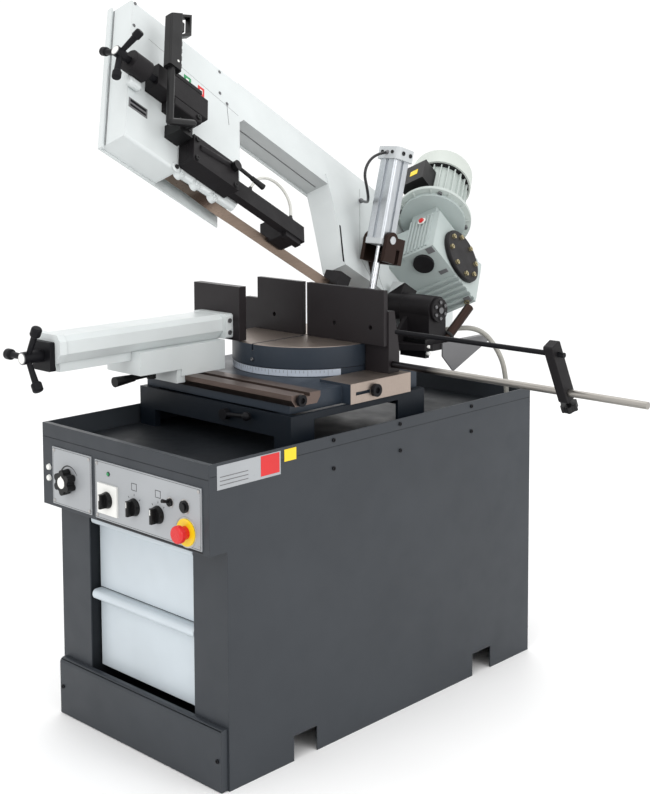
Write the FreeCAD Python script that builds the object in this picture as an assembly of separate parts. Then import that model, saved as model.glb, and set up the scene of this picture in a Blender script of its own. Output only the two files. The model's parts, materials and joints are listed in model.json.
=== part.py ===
import FreeCAD, Part
import math
import os

os.makedirs("parts", exist_ok=True)

V = FreeCAD.Vector
X_AXIS = V(1, 0, 0)
Y_AXIS = V(0, 1, 0)
Z_AXIS = V(0, 0, 1)

# ---------------------------------------------------------------- driving dimensions (mm)
# Frame: Z up, origin on the floor under the cabinet, -Y the operator side, +X the outfeed side.

GAP = 0.4                    # free space between parts that move past each other

# cabinet
CAB_X = 311.0                # half width
CAB_Y = 564.0                # half length of the lower cabinet
HOUSING_Y = -615.0           # front face of the control housing
HOUSING_Z = 547.0            # underside of the control housing
RIM_Z = 750.0
DECK_Z = 700.0
SHEET = 3.0
PAN_Z = 62.0
GLAND_X = -180.0
GLAND_Z = 180.0
BAY_X = 195.0                # half width of the drawer bay
BAY_Z = (135.0, 547.0)
FORK_SLOTS = ((-362.0, -285.0), (311.0, 390.0))
FORK_HEIGHT = 60.0

# X, Z and radius of the hole behind each control: switch, selectors, toggle, button, stop, flow
CONTROL_HOLES = ((-42.0, 607.0, 12.0), (54.0, 608.0, 10.0), (140.0, 608.0, 10.0), (183.0, 645.0, 7.0),
                 (233.0, 645.0, 9.0), (237.0, 588.0, 15.0), (-199.0, 622.0, 9.0))

# bed and swivel
SWIVEL_X = -38.0
SWIVEL_Y = 40.0
DISC_R = 200.0
DISC_Z = (863.3, 920.0)
BED_Z = (800.0, 843.0)
TABLE_Z = 920.0
SPIGOT_R = 60.0

# jaws
JAW_FACE_Y = 32.0
JAW_TOP = 1062.0

# moving vise
VISE_X = -175.0
VISE_AXIS_Z = 943.0
VISE_FACE_Y = -136.0
SCREW_R = 10.0

# bow: tilted about the cutting line, then raised about the pivot
PIVOT_Y = 355.0
PIVOT_Z = 971.0
CUT_Z = 921.0                # height of the blade's centre line with the bow down
TILT_DEG = 28.0
RAISE_DEG = 29.5
WHEEL_R = 190.0
IDLER_S = 850.0
DRIVE_S = -130.0
BLADE_WIDTH = 27.0
BLADE_THICK = 1.1
BACK_N = -34.0               # open side of the casting, closed by the back cover
FACE_N = 40.0                # outer face of the head and beam
LOBE_N = 38.0                # outer face of the lower fairing and its screw lobes
HOUSING_N = 45.0             # outer face of the rear housing
SCREW_N = 72.0               # axis of the tension screw
SCREW_W = 177.0

# worm gearbox
GEAR_TURN_DEG = 21.5
WORM_B = 80.0
WORM_N = 146.0
MOTOR_A = 134.0
TERMINAL_TURN_DEG = 0.0      # where the terminal box sits around the motor

# hydraulic cylinder, in a plane of constant X
CYLINDER_X = 8.0
TRUNNION = (282.0, 1161.0)   # Y and Z with the bow raised
FOOT = (212.0, 905.0)


# ---------------------------------------------------------------- helpers

def box(x0, x1, y0, y1, z0, z1):
    """Box between two corners."""
    return Part.makeBox(x1 - x0, y1 - y0, z1 - z0, V(x0, y0, z0))


def rod(base, axis, radius, length):
    """Cylinder from a base point along an axis."""
    return Part.makeCylinder(radius, length, V(*base), axis)


def tube(base, axis, outer, inner, length):
    """Cylinder with a hole right through."""
    return rod(base, axis, outer, length).cut(rod(base, axis, inner, length))


def cone(base, axis, r0, r1, length):
    """Cone frustum from a base point along an axis."""
    return Part.makeCone(r0, r1, length, V(*base), axis)


def ball(centre, radius):
    """Sphere."""
    return Part.makeSphere(radius, V(*centre))


def prism(points, direction):
    """Flat polygon swept along a vector."""
    corners = [V(*p) for p in points]
    wire = Part.makePolygon(corners + [corners[0]])
    return Part.Face(wire).extrude(direction)


def outline_xy(points, z0, z1):
    """Polygon in X and Y between two heights."""
    return prism([(x, y, z0) for x, y in points], V(0, 0, z1 - z0))


def outline_yz(points, x0, x1):
    """Polygon in Y and Z between two X positions."""
    return prism([(x0, y, z) for y, z in points], V(x1 - x0, 0, 0))


def outline_xz(points, y0, y1):
    """Polygon in X and Z between two Y positions."""
    return prism([(x, y0, z) for x, z in points], V(0, y1 - y0, 0))


def fuse(*shapes):
    """One solid from several that touch or overlap."""
    result = shapes[0].multiFuse(list(shapes[1:]))
    return result.removeSplitter()


def group(shapes):
    """Separate solids kept under one name."""
    return Part.makeCompound(shapes)


def place(shape, placement):
    """Move a copy of a shape by a placement."""
    moved = shape.copy()
    moved.Placement = placement.multiply(moved.Placement)
    return moved


def round_edges(shape, radius, keep):
    """Fillet the edges for which keep(edge) is true."""
    edges = [e for e in shape.Edges if keep(e)]
    return shape.makeFillet(radius, edges)


def runs_along(edge, axis):
    """True for a straight edge parallel to an axis."""
    if len(edge.Vertexes) != 2:
        return False
    span = edge.Vertexes[1].Point.sub(edge.Vertexes[0].Point)
    if span.Length < 1e-6:
        return False
    return abs(span.normalize().dot(axis)) > 0.999


def socket_screw(base, axis, head_r, head_h, shank_r, shank_l):
    """Socket-head screw: base on the face, head along the axis, shank into the part."""
    head = rod(base, axis, head_r, head_h)
    top = V(*base).add(V(axis.x, axis.y, axis.z).multiply(head_h))
    back = V(-axis.x, -axis.y, -axis.z)
    socket = Part.makeCylinder(head_r * 0.5, head_h * 0.6, top, back)
    screw = head.cut(socket)
    if shank_l > 0:
        screw = fuse(screw, Part.makeCylinder(shank_r, shank_l, V(*base), back))
    return screw


def export(name, shape):
    """Write one node and print its size."""
    shape.exportStep("parts/" + name + ".step")
    print(name, "solids", len(shape.Solids), "valid", shape.isValid(), "volume", round(shape.Volume))


# ---------------------------------------------------------------- frames of the tilted parts

def bow_placement():
    """Bow frame to row frame: X runs to the head, Y out of the side face, Z to the upper blade run."""
    tilt = math.radians(TILT_DEG)
    along = V(0, -1, 0)
    outward = V(math.cos(tilt), 0, math.sin(tilt))
    upward = V(-math.sin(tilt), 0, math.cos(tilt))
    matrix = FreeCAD.Matrix(
        along.x, outward.x, upward.x, SWIVEL_X,
        along.y, outward.y, upward.y, PIVOT_Y,
        along.z, outward.z, upward.z, CUT_Z,
        0, 0, 0, 1)
    return raise_placement().multiply(FreeCAD.Placement(matrix))


def raise_placement():
    """Turn from the lowered bow to the raised bow, about the pivot axis."""
    pivot = V(0, PIVOT_Y, PIVOT_Z)
    turn = FreeCAD.Rotation(X_AXIS, -RAISE_DEG)
    return FreeCAD.Placement(V(0, 0, 0), turn, pivot)


def gear_placement():
    """Gearbox frame to row frame: X to the head, Y the output axis, Z to the motor."""
    turn = FreeCAD.Placement(V(DRIVE_S, 0, WHEEL_R), FreeCAD.Rotation(Y_AXIS, -GEAR_TURN_DEG))
    return bow_placement().multiply(turn)


def cylinder_placement():
    """Cylinder frame to row frame: origin at the trunnion, Z up along the barrel."""
    lean = math.degrees(math.atan2(TRUNNION[0] - FOOT[0], TRUNNION[1] - FOOT[1]))
    turn = FreeCAD.Rotation(X_AXIS, -lean)
    return FreeCAD.Placement(V(CYLINDER_X, TRUNNION[0], TRUNNION[1]), turn)


def in_bow(shape):
    return place(shape, bow_placement())


def in_gear(shape):
    return place(shape, gear_placement())


def in_cylinder(shape):
    return place(shape, cylinder_placement())


def from_lowered(shape):
    """Shape drawn with the bow down, moved to the raised pose."""
    return place(shape, raise_placement())


# ---------------------------------------------------------------- cabinet

def side_panel(x0, x1):
    """Side panel with the housing step and two fork slots open at the floor."""
    panel = outline_yz([(-CAB_Y, 0), (CAB_Y, 0), (CAB_Y, RIM_Z), (HOUSING_Y, RIM_Z),
                        (HOUSING_Y, HOUSING_Z), (-CAB_Y, HOUSING_Z)], x0, x1)
    for y0, y1 in FORK_SLOTS:
        panel = panel.cut(box(x0 - 1, x1 + 1, y0, y1, -1, FORK_HEIGHT))
    return panel


def cabinet():
    inner = CAB_X - SHEET
    rear = box(-inner, inner, CAB_Y - SHEET, CAB_Y, 0, RIM_Z)
    rear = rear.cut(rod((GLAND_X, CAB_Y - 10, GLAND_Z), Y_AXIS, 7, 20))
    gland = tube((GLAND_X, CAB_Y, GLAND_Z), Y_AXIS, 14, 7, 26)
    sides = [side_panel(inner, CAB_X), side_panel(-CAB_X, -inner)]
    export("cabinet_panels", group(sides + [fuse(rear, gland)]))

    front = box(-inner, inner, -CAB_Y, -CAB_Y + SHEET, 0, HOUSING_Z)
    front = front.cut(box(-BAY_X, BAY_X, -CAB_Y - 1, -CAB_Y + SHEET + 1, BAY_Z[0], BAY_Z[1] + 1))
    face = box(-inner, inner, HOUSING_Y, HOUSING_Y + SHEET, HOUSING_Z, RIM_Z)
    for x, z, radius in CONTROL_HOLES:
        face = face.cut(rod((x, HOUSING_Y - 1, z), Y_AXIS, radius, 5))
    underside = box(-inner, inner, HOUSING_Y, -CAB_Y + SHEET, HOUSING_Z, HOUSING_Z + SHEET)
    lip = box(-inner, inner, HOUSING_Y, HOUSING_Y + 14, RIM_Z - SHEET, RIM_Z)
    export("front_panel", fuse(front, face, underside, lip))

    deck = box(-inner, inner, HOUSING_Y + SHEET, CAB_Y - SHEET, DECK_Z - SHEET, DECK_Z)
    export("tray_deck", deck)
    outer = box(-302, 306, -584, -CAB_Y, 2, 144)
    outer = round_edges(outer, 12, lambda e: runs_along(e, X_AXIS) and e.BoundBox.ZMin > 140
                        and e.BoundBox.YMax < -580)
    inside = box(-299, 303, -581, -CAB_Y + 1, -1, 141)
    export("plinth_cover", outer.cut(inside))

    cage_x = BAY_X + SHEET
    walls = [box(-cage_x, -BAY_X, -CAB_Y + SHEET, -70, PAN_Z + SHEET, HOUSING_Z),
             box(BAY_X, cage_x, -CAB_Y + SHEET, -70, PAN_Z + SHEET, HOUSING_Z)]
    shelves = [box(-BAY_X, BAY_X, -530, -70, z, z + SHEET) for z in (141.0, 336.0)]
    pan = box(-inner, inner, -CAB_Y + SHEET, CAB_Y - SHEET, PAN_Z, PAN_Z + SHEET)
    channel = box(-inner, inner, -60, 60, 0, PAN_Z).cut(box(-inner - 1, inner + 1, -57, 57, SHEET, PAN_Z))
    export("inner_frame", fuse(pan, channel, *(walls + shelves)))


def drawer(name, z0, wall_top, lip_z):
    """Open sheet box with a recessed front and a rounded pull along its top edge."""
    half = 190.0
    front_y = -536.0
    back_y = -100.0
    wall = 2.0
    shell = box(-half, half, front_y, back_y, z0, wall_top)
    room = box(-half + wall, half - wall, front_y + SHEET, back_y - wall, z0 + wall, wall_top + 1)
    shell = shell.cut(room)
    front = box(-half, half, front_y, front_y + SHEET, z0, lip_z + 12)
    lip = box(-half, half, -562, front_y + 1, lip_z - 12, lip_z + 12)
    lip = round_edges(lip, 11, lambda e: runs_along(e, X_AXIS) and e.BoundBox.YMax < -560)
    export(name, fuse(shell, front, lip))


def drawers():
    drawer("drawer_lower", 144.6, 312, 329)
    drawer("drawer_upper", 344, 496, 518)


# ---------------------------------------------------------------- operator panel

PANEL_FACE_Y = HOUSING_Y - 3.0


def control_panel():
    main = box(-94, 288, PANEL_FACE_Y, HOUSING_Y, 555, 695)
    for x, z, radius in CONTROL_HOLES:
        main = main.cut(rod((x, PANEL_FACE_Y - 1, z), Y_AXIS, radius, 5))
    flow = box(-267, -110, PANEL_FACE_Y, HOUSING_Y, 556, 697)
    flow = flow.cut(rod((-199, PANEL_FACE_Y - 1, 622), Y_AXIS, 9, 5))
    export("control_plates", group([main, flow]))

    plugs = [cone((-285, HOUSING_Y, z), V(0, -1, 0), 8, 6.5, 5) for z in (615.0, 642.0)]

    flow_head = rod((-199, -642, 622), Y_AXIS, 23, 22)
    lobes = [rod((-199 + 22 * math.cos(a), -642, 622 + 22 * math.sin(a)), Y_AXIS, 9, 22)
             for a in [math.radians(30 + 60 * i) for i in range(6)]]
    spindle = rod((-199, -620, 622), Y_AXIS, 8.95, 12)
    export("flow_knob", fuse(flow_head, spindle, *lobes))

    plate = box(-80, -6, PANEL_FACE_Y - 5, PANEL_FACE_Y, 571, 643)
    plate = plate.cut(rod((-42, PANEL_FACE_Y - 6, 607), Y_AXIS, 12, 8))
    export("main_switch_knob", rotary_knob(-42, 607, PANEL_FACE_Y - 5, 20, 11.95))
    export("selector_left", rotary_knob(54, 608, PANEL_FACE_Y, 21, 9.95))
    export("selector_right", rotary_knob(140, 608, PANEL_FACE_Y, 21, 9.95))

    collar = rod((183, PANEL_FACE_Y, 645), V(0, -1, 0), 9, 5)
    collar = collar.cut(ball((183, PANEL_FACE_Y - 1, 645), 6.3)).cut(rod((183, -626, 645), Y_AXIS, 6.3, 8))
    lever = cone((183, PANEL_FACE_Y - 1, 645), V(0, -1, 0.35), 3.0, 4.5, 24)
    export("toggle_lever", fuse(ball((183, PANEL_FACE_Y - 1, 645), 6.2), lever))

    bezel = rod((233, PANEL_FACE_Y, 645), V(0, -1, 0), 14, 5).cut(rod((233, -624, 645), Y_AXIS, 9, 8))
    export("push_button", rod((233, -627, 645), Y_AXIS, 8.95, 16))

    disc = rod((237, PANEL_FACE_Y, 588), V(0, -1, 0), 31, 3).cut(rod((237, -624, 588), Y_AXIS, 15, 8))
    export("control_fittings", group(plugs + [plate, collar, bezel, disc]))
    stem = rod((237, -640, 588), Y_AXIS, 14.95, 30)
    cap = rod((237, -650, 588), Y_AXIS, 20, 14)
    cap = round_edges(cap, 6, lambda e: e.BoundBox.YMax < -649)
    export("estop_head", fuse(stem, cap))


def rotary_knob(x, z, face_y, radius, stem_r):
    """Round knob with a raised grip bar and a stem through the panel."""
    base = cone((x, face_y - GAP, z), V(0, -1, 0), radius, radius * 0.88, 10)
    grip = box(x - radius * 0.22, x + radius * 0.22, face_y - 24, face_y - 9, z - radius * 0.85,
               z + radius * 0.85)
    grip = round_edges(grip, 3, lambda e: runs_along(e, Z_AXIS) and e.BoundBox.YMax < face_y - 20)
    stem = rod((x, face_y - 1, z), Y_AXIS, stem_r, 12)
    return fuse(base, grip, stem)


# ---------------------------------------------------------------- bed

def bed():
    legs = []
    for x0, x1 in ((-300.0, -240.0), (205.0, 262.0)):
        legs.append(box(x0, x1, -318, -300, DECK_Z, BED_Z[0]))
        legs.append(box(x0, x1, 130, 165, DECK_Z, BED_Z[0]))
    legs.append(box(254, 262, -318, -240, DECK_Z, BED_Z[0]))
    legs.append(box(254, 262, 62, 165, DECK_Z, BED_Z[0]))
    legs.append(box(-300, -292, -318, 165, DECK_Z, BED_Z[0]))
    legs.append(box(-300, 262, -318, -310, 745, BED_Z[0]))
    legs.append(box(-300, 262, 157, 165, 745, BED_Z[0]))
    legs.append(box(254, 262, -318, 165, 783, BED_Z[0]))
    export("bed_subframe", fuse(*legs))

    plate = box(-292, 240, -300, 160, BED_Z[0], BED_Z[1])
    block = box(165, 270, -122, 102, BED_Z[0], 850)
    ear = box(-300, -242, 20, 112, BED_Z[0], 850)
    boss = rod((SWIVEL_X, SWIVEL_Y, BED_Z[0]), Z_AXIS, 198, 62.5)
    boss = boss.cut(box(162, 400, -200, 300, 843, 870))
    casting = fuse(plate, block, ear, boss)
    casting = casting.cut(rod((SWIVEL_X, SWIVEL_Y, BED_Z[0] - 1), Z_AXIS, SPIGOT_R + 0.05, 80))
    casting = casting.cut(box(-292, 265.5, -318.5, -221.5, 822, 850))
    slot = box(262, 271, -103, -52, 820, 828)
    casting = casting.cut(slot)
    casting = casting.cut(rod((262, -34, 824), X_AXIS, 7, 10))
    export("bed_casting", casting)

    rail = outline_yz([(-318, 850), (-222, 850), (-222, 838), (-234, 822), (-306, 822), (-318, 838)],
                      -300, 265)
    rail = rail.cut(box(-301, 266, -278, -258, 842, 851))
    export("vise_rail", rail)


def base_screws():
    """Screws of the panels, the bed block and the rail end, all on the fixed body."""
    spots = [(13.0, 737.0), (14.0, 670.0), (-226.0, 738.0), (-226.0, 670.0), (300.0, 737.0), (300.0, 670.0)]
    screws = [socket_screw((CAB_X, y, z), X_AXIS, 5, 3, 2, 0) for y, z in spots]
    screws += [socket_screw((x, -584, 72), V(0, -1, 0), 5, 3, 2, 0) for x in (-290.0, 294.0)]
    screws.append(socket_screw((270, -34, 824), X_AXIS, 16, 10, 6.9, 7.5))
    screws.append(socket_screw((265, -290, 836), X_AXIS, 14, 9, 5, 0))
    export("base_screws", group(screws))


def swivel():
    disc = rod((SWIVEL_X, SWIVEL_Y, DISC_Z[0]), Z_AXIS, DISC_R, DISC_Z[1] - DISC_Z[0])
    disc = round_edges(disc, 3, lambda e: e.BoundBox.ZMin > DISC_Z[1] - 1)
    spigot = rod((SWIVEL_X, SWIVEL_Y, 806), Z_AXIS, SPIGOT_R, DISC_Z[0] - 806)
    disc = fuse(disc, spigot)
    disc = disc.cut(box(SWIVEL_X - 3, SWIVEL_X + 3, -200, 300, 903, TABLE_Z + 1))
    disc = disc.cut(box(CYLINDER_X - 11.5, CYLINDER_X + 11.5, FOOT[0] - 24, FOOT[0] + 40, 880, TABLE_Z + 1))
    ears = []
    for x0 in (CYLINDER_X - 23.5, CYLINDER_X + 11.5):
        ear = box(x0, x0 + 12, FOOT[0] - 18, FOOT[0] + 18, 882, FOOT[1])
        ears.append(ear.fuse(rod((x0, FOOT[0], FOOT[1]), X_AXIS, 18, 12)))
    clevis = fuse(rod((CYLINDER_X - 23.5, FOOT[0], FOOT[1]), X_AXIS, 10, 47), *ears)
    export("turntable", group([disc.cut(clevis), clevis]))

    plate = outline_xy([(-138, 195), (60, 195), (72, 265), (150, 302), (165, 317), (165, 405), (15, 405),
                        (15, 302), (-138, 265)], 864, 882)
    plate = plate.cut(rod((SWIVEL_X, SWIVEL_Y, 860), Z_AXIS, DISC_R, 30))
    pedestal = box(45, 150, 319, 391, 882, PIVOT_Z)
    barrel = rod((45, PIVOT_Y, PIVOT_Z), X_AXIS, 38, 105)
    rib = outline_yz([(250, 882), (319, 882), (319, 950)], 60, 72)
    switch_box = box(60, 150, 304, 320, 844, 895)
    buffer_start = V(150, 392, 886)
    buffer_axis = V(0, 84, 64)
    buffer = Part.makeCylinder(13, 130, buffer_start, buffer_axis)
    arm = fuse(plate, pedestal, barrel, rib, switch_box, buffer)
    arm = arm.cut(rod((40, PIVOT_Y, PIVOT_Z), X_AXIS, 22.05, 120))
    export("swivel_arm", arm)

    shaft = rod((40, -318 - GAP, 776), V(0, -1, 0), 14, 16)
    lever = rod((40, -327, 776), V(0.94, -0.1, 0.1), 5, 92)
    knob = ball((128, -336, 785), 11)
    export("swivel_lock_lever", fuse(shaft, lever, knob))


def jaw_right():
    plate = box(-31, 241, JAW_FACE_Y, JAW_FACE_Y + 14, TABLE_Z + GAP, JAW_TOP)
    web = box(-20, 241, JAW_FACE_Y + 14, JAW_FACE_Y + 24, TABLE_Z + GAP, 1008)
    foot = outline_yz([(46, 850 + GAP), (87, 850 + GAP), (87, 905), (68, 1008), (46, 1008)], 166, 245)
    jaw = fuse(plate, web, foot)
    jaw = jaw.cut(rod((204, 62, 872), X_AXIS, 8.5, 60))
    for x in (69.0, 195.0):
        jaw = jaw.cut(rod((x, JAW_FACE_Y - 1, 964), Y_AXIS, 6, 60))
    export("jaw_right", jaw)


def jaw_left():
    plate = outline_xz([(-222, JAW_TOP), (-49, JAW_TOP), (-49, TABLE_Z + GAP), (-268, TABLE_Z + GAP),
                        (-268, 1004), (-222, 1004)], JAW_FACE_Y, JAW_FACE_Y + 14)
    web = box(-268, -62, JAW_FACE_Y + 14, JAW_FACE_Y + 24, TABLE_Z + GAP, 998)
    foot = outline_yz([(46, 850 + GAP), (88, 850 + GAP), (88, 905), (66, 998), (46, 998)], -300, -246)
    jaw = fuse(plate, web, foot)
    export("jaw_left", jaw.cut(rod((-156, JAW_FACE_Y - 1, 965), Y_AXIS, 6, 60)))


# ---------------------------------------------------------------- moving vise

def three_arm_wheel(centre, axis, side, up, radius, hub_r, hub_l, arm_r, knob_r, knob_l, start_deg):
    """Hub with three arms at 120 degrees, each with a knob; axis, side and up are unit vectors."""
    middle = V(*centre)
    back = middle.sub(V(axis.x, axis.y, axis.z).multiply(hub_l / 2))
    parts = [Part.makeCylinder(hub_r, hub_l, back, axis)]
    for index in range(3):
        angle = math.radians(start_deg + 120 * index)
        direction = V(side.x, side.y, side.z).multiply(math.cos(angle))
        direction = direction.add(V(up.x, up.y, up.z).multiply(math.sin(angle)))
        parts.append(Part.makeCone(arm_r, arm_r * 1.35, radius - knob_l / 2, middle, direction))
        start = middle.add(V(direction.x, direction.y, direction.z).multiply(radius - knob_l / 2))
        knob = Part.makeCylinder(knob_r, knob_l, start, direction)
        parts.append(knob.makeFillet(knob_r * 0.45, knob.Edges[0:3:2]))
    return fuse(*parts)


def vise():
    left, right = -265.0, -113.0
    body = box(left, right, -462, -187, 850 + GAP, 926)
    body = round_edges(body, 26, lambda e: runs_along(e, Z_AXIS) and e.BoundBox.YMax < -460
                       and e.BoundBox.XMax < left + 1)
    body = body.cut(box(left - 1, right + 1, -463, -332, 840, 868))
    lug = box(left + 6, right - 4, -345, -318 - GAP, 833, 870)
    groove = box(VISE_X - 25 - GAP, VISE_X + 25 + GAP, -470, -180, 902, 927)
    post = box(VISE_X - 16, VISE_X + 16, -330, -300, 890, VISE_AXIS_Z + 16)
    carriage = fuse(body.cut(groove), lug, post)
    carriage = carriage.cut(rod((VISE_X, -340, VISE_AXIS_Z), Y_AXIS, SCREW_R + 0.05, 60))
    export("vise_carriage", carriage)

    section = beam_section(0)
    beam = outline_xz(section, -683, -184)
    tongue = box(VISE_X - 25, VISE_X + 25, -672, -297, 902 + GAP, 926 + GAP)
    flange = box(VISE_X - 64, VISE_X + 64, -184, -160, 926.8, 991)
    flange = round_edges(flange, 8, lambda e: runs_along(e, Y_AXIS))
    end_rim = outline_xz(beam_section(4), -692, -672)
    block = box(VISE_X - 36, VISE_X + 36, -706, -690, 908, 977)
    block = round_edges(block, 5, lambda e: runs_along(e, Y_AXIS))
    cavity = box(VISE_X - 30, VISE_X + 30, -640, -200, 930, 972)
    slot = box(VISE_X - 17, VISE_X + 17, -640, -190, 895, 935)
    tongue = tongue.cut(slot)
    beam = fuse(beam, flange, end_rim, block).cut(cavity).cut(slot)
    beam = beam.cut(rod((VISE_X, -710, VISE_AXIS_Z), Y_AXIS, SCREW_R + 0.05, 80))
    beam = beam.cut(rod((VISE_X, -205, VISE_AXIS_Z), Y_AXIS, SCREW_R + 0.05, 12))
    bolts = [socket_screw((VISE_X + 64, -172, z), X_AXIS, 6, 3, 3, 0) for z in (943.0, 974.0)]
    export("vise_beam", group([fuse(beam, *bolts), tongue]))

    export("movable_jaw", box(-264, -86.5, -160, VISE_FACE_Y, 921.5, JAW_TOP))

    screw = rod((VISE_X, -750, VISE_AXIS_Z), Y_AXIS, SCREW_R, 554)
    collar = rod((VISE_X, -730, VISE_AXIS_Z), Y_AXIS, 15, 24 - GAP)
    wheel_centre = (VISE_X, -744, VISE_AXIS_Z)
    wheel_shape = three_arm_wheel(wheel_centre, Y_AXIS, X_AXIS, Z_AXIS, 74, 15, 30, 6, 13, 24, 60)
    export("vise_handwheel", fuse(screw, collar, wheel_shape))

    pivot = rod((VISE_X - 10, -372, 868 - GAP), V(0, 0, -1), 12, 26)
    arm = rod((VISE_X - 10, -372, 853), V(0.05, -0.98, -0.03), 7, 60)
    grip = cone((VISE_X - 7, -430, 851), V(0.05, -0.98, -0.03), 9, 13, 62)
    export("carriage_lever", fuse(pivot, arm, grip))


def beam_section(margin):
    """Octagonal section of the vise beam, grown by a margin on its sides and top."""
    half = 52.0 + margin
    low, side_low, side_high, top = 926 + GAP, 948.0, 978.0, 990.0 + margin
    return [(VISE_X - half, side_low), (VISE_X - half + 18, low), (VISE_X + half - 18, low),
            (VISE_X + half, side_low), (VISE_X + half, side_high), (VISE_X + half - 13, top),
            (VISE_X - half + 13, top), (VISE_X - half, side_high)]


# ---------------------------------------------------------------- length stop

def length_stop():
    export("scaled_rod", rod((205, 62, 872), X_AXIS, 8.5, 772))

    centre_low = V(0, 62, 872)
    centre_high = V(0, 16, 966)
    arm = box(752, 776, -17, 17, -20, 132)
    arm = round_edges(arm, 5, lambda e: runs_along(e, X_AXIS))
    lean = math.degrees(math.atan2(centre_low.y - centre_high.y, centre_high.z - centre_low.z))
    span = centre_high.sub(centre_low).Length
    arm = arm.cut(rod((750, 0, 0), X_AXIS, 8.55, 30)).cut(rod((750, 0, span), X_AXIS, 6.05, 30))
    frame = FreeCAD.Placement(centre_low, FreeCAD.Rotation(X_AXIS, lean))
    export("stop_arm", place(arm, frame))
    export("stop_rod", rod((296, centre_high.y, centre_high.z), X_AXIS, 6, 496))

    stem = rod((764, 0, -20 - GAP), V(0, 0, -1), 5, 12)
    head = rod((764, 0, -30), V(0, 0, -1), 18, 16)
    lobes = [rod((764 + 15 * math.cos(a), 15 * math.sin(a), -30), V(0, 0, -1), 6, 16)
             for a in [math.radians(60 * i) for i in range(6)]]
    export("stop_knob", place(fuse(stem, head, *lobes), frame))


# ---------------------------------------------------------------- bow

def bow_outline(points, n0, n1):
    """Polygon in the bow plane between two side positions, in the bow frame."""
    return prism([(s, n0, w) for s, w in points], V(0, n1 - n0, 0))


def bow_disc(s, w, radius, n0, n1):
    """Disc across the bow plane."""
    return rod((s, n0, w), Y_AXIS, radius, n1 - n0)


def bow_frame():
    head = bow_outline([(655, 62), (885, 62), (885, -10), (1060, -10), (1060, 418), (640, 418),
                        (640, 300), (655, 285)], BACK_N, FACE_N)
    head = round_edges(head, 8, lambda e: runs_along(e, X_AXIS) and e.BoundBox.YMin > FACE_N - 1)
    beam = bow_outline([(-60, 302), (660, 302), (660, 415), (-60, 415)], BACK_N, FACE_N)
    rear = bow_disc(DRIVE_S, WHEEL_R, 207, BACK_N, HOUSING_N)
    leg = bow_outline([(-60, 62), (214, 62), (262, 255), (285, 330), (120, 400), (-60, 400)],
                      BACK_N, HOUSING_N - 2)
    shell = fuse(head, beam, rear, leg)

    wheel_room = fuse(bow_disc(IDLER_S, WHEEL_R, 197, BACK_N - 1, 22),
                      bow_disc(IDLER_S - 20, WHEEL_R, 197, BACK_N - 1, 22),
                      box(IDLER_S - 20, IDLER_S, BACK_N - 1, 22, WHEEL_R - 197, WHEEL_R + 197))
    head_room = box(667, 1048, BACK_N - 1, 26, 74, 404)
    beam_room = box(DRIVE_S, 700, BACK_N - 1, 28, 314, 404)
    drive_room = bow_disc(DRIVE_S, WHEEL_R, 197, BACK_N - 1, 27)
    leg_room = bow_outline([(-60, 74), (205, 74), (250, 255), (262, 314), (-60, 350)], BACK_N - 1, 28)
    shell = shell.cut(wheel_room).cut(head_room).cut(beam_room).cut(drive_room).cut(leg_room)
    for s0, s1 in ((640, IDLER_S), (DRIVE_S, 300)):
        shell = shell.cut(box(s0, s1, -18, 18, -20, 20))
    shell = shell.cut(box(IDLER_S - 36, IDLER_S + 21, 15, FACE_N + 1, WHEEL_R - 21, WHEEL_R + 21))
    shell = shell.cut(bow_disc(DRIVE_S, WHEEL_R, 25.05, 0, HOUSING_N + 1))

    rails = []
    for w0, w1 in ((132.0, 158 - GAP), (222 + GAP, 238.0)):
        rail = box(850, 945, FACE_N - 1, 84, w0, w1)
        rails.append(round_edges(rail, 4, lambda e: runs_along(e, X_AXIS) and e.BoundBox.YMin > 83))
    casting = in_bow(fuse(shell, *rails))

    # boss and shaft of the pivot, drawn with the bow down
    boss = rod((-14, PIVOT_Y, PIVOT_Z), X_AXIS, 38, 58)
    web = box(-14, 30, PIVOT_Y - 30, PIVOT_Y + 30, PIVOT_Z - 20, 1030)
    shaft = rod((-6, PIVOT_Y, PIVOT_Z), X_AXIS, 22, 160)
    cap = rod((150 + GAP, PIVOT_Y, PIVOT_Z), X_AXIS, 33, 10)
    cap = round_edges(cap, 3, lambda e: e.BoundBox.XMin > 159)
    lowered = raise_placement().inverse().multiply(bow_placement())
    inward = place(box(-400, 400, -400, HOUSING_N - 3, -400, 600), lowered)
    pivot = fuse(boss, web, shaft, cap).cut(inward)
    export("bow_frame", fuse(casting, from_lowered(pivot)))


def bow_cover():
    n0, n1 = BACK_N - 4.3, BACK_N - GAP
    plates = [box(655, 1068, n0, n1, 56, 424),
              box(885, 1068, n0, n1, -16, 60),
              box(655, 900, n0, n1, -16, 60),
              box(-60, 660, n0, n1, 296, 419),
              bow_disc(DRIVE_S, WHEEL_R, 211, n0, n1),
              bow_outline([(-60, 66), (210, 66), (256, 255), (280, 330), (120, 396), (-60, 396)], n0, n1)]
    rim = box(1062 + GAP, 1068, n1 - 1, BACK_N + 10, -16, 424)
    export("bow_cover", in_bow(fuse(rim, *plates)))


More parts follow.
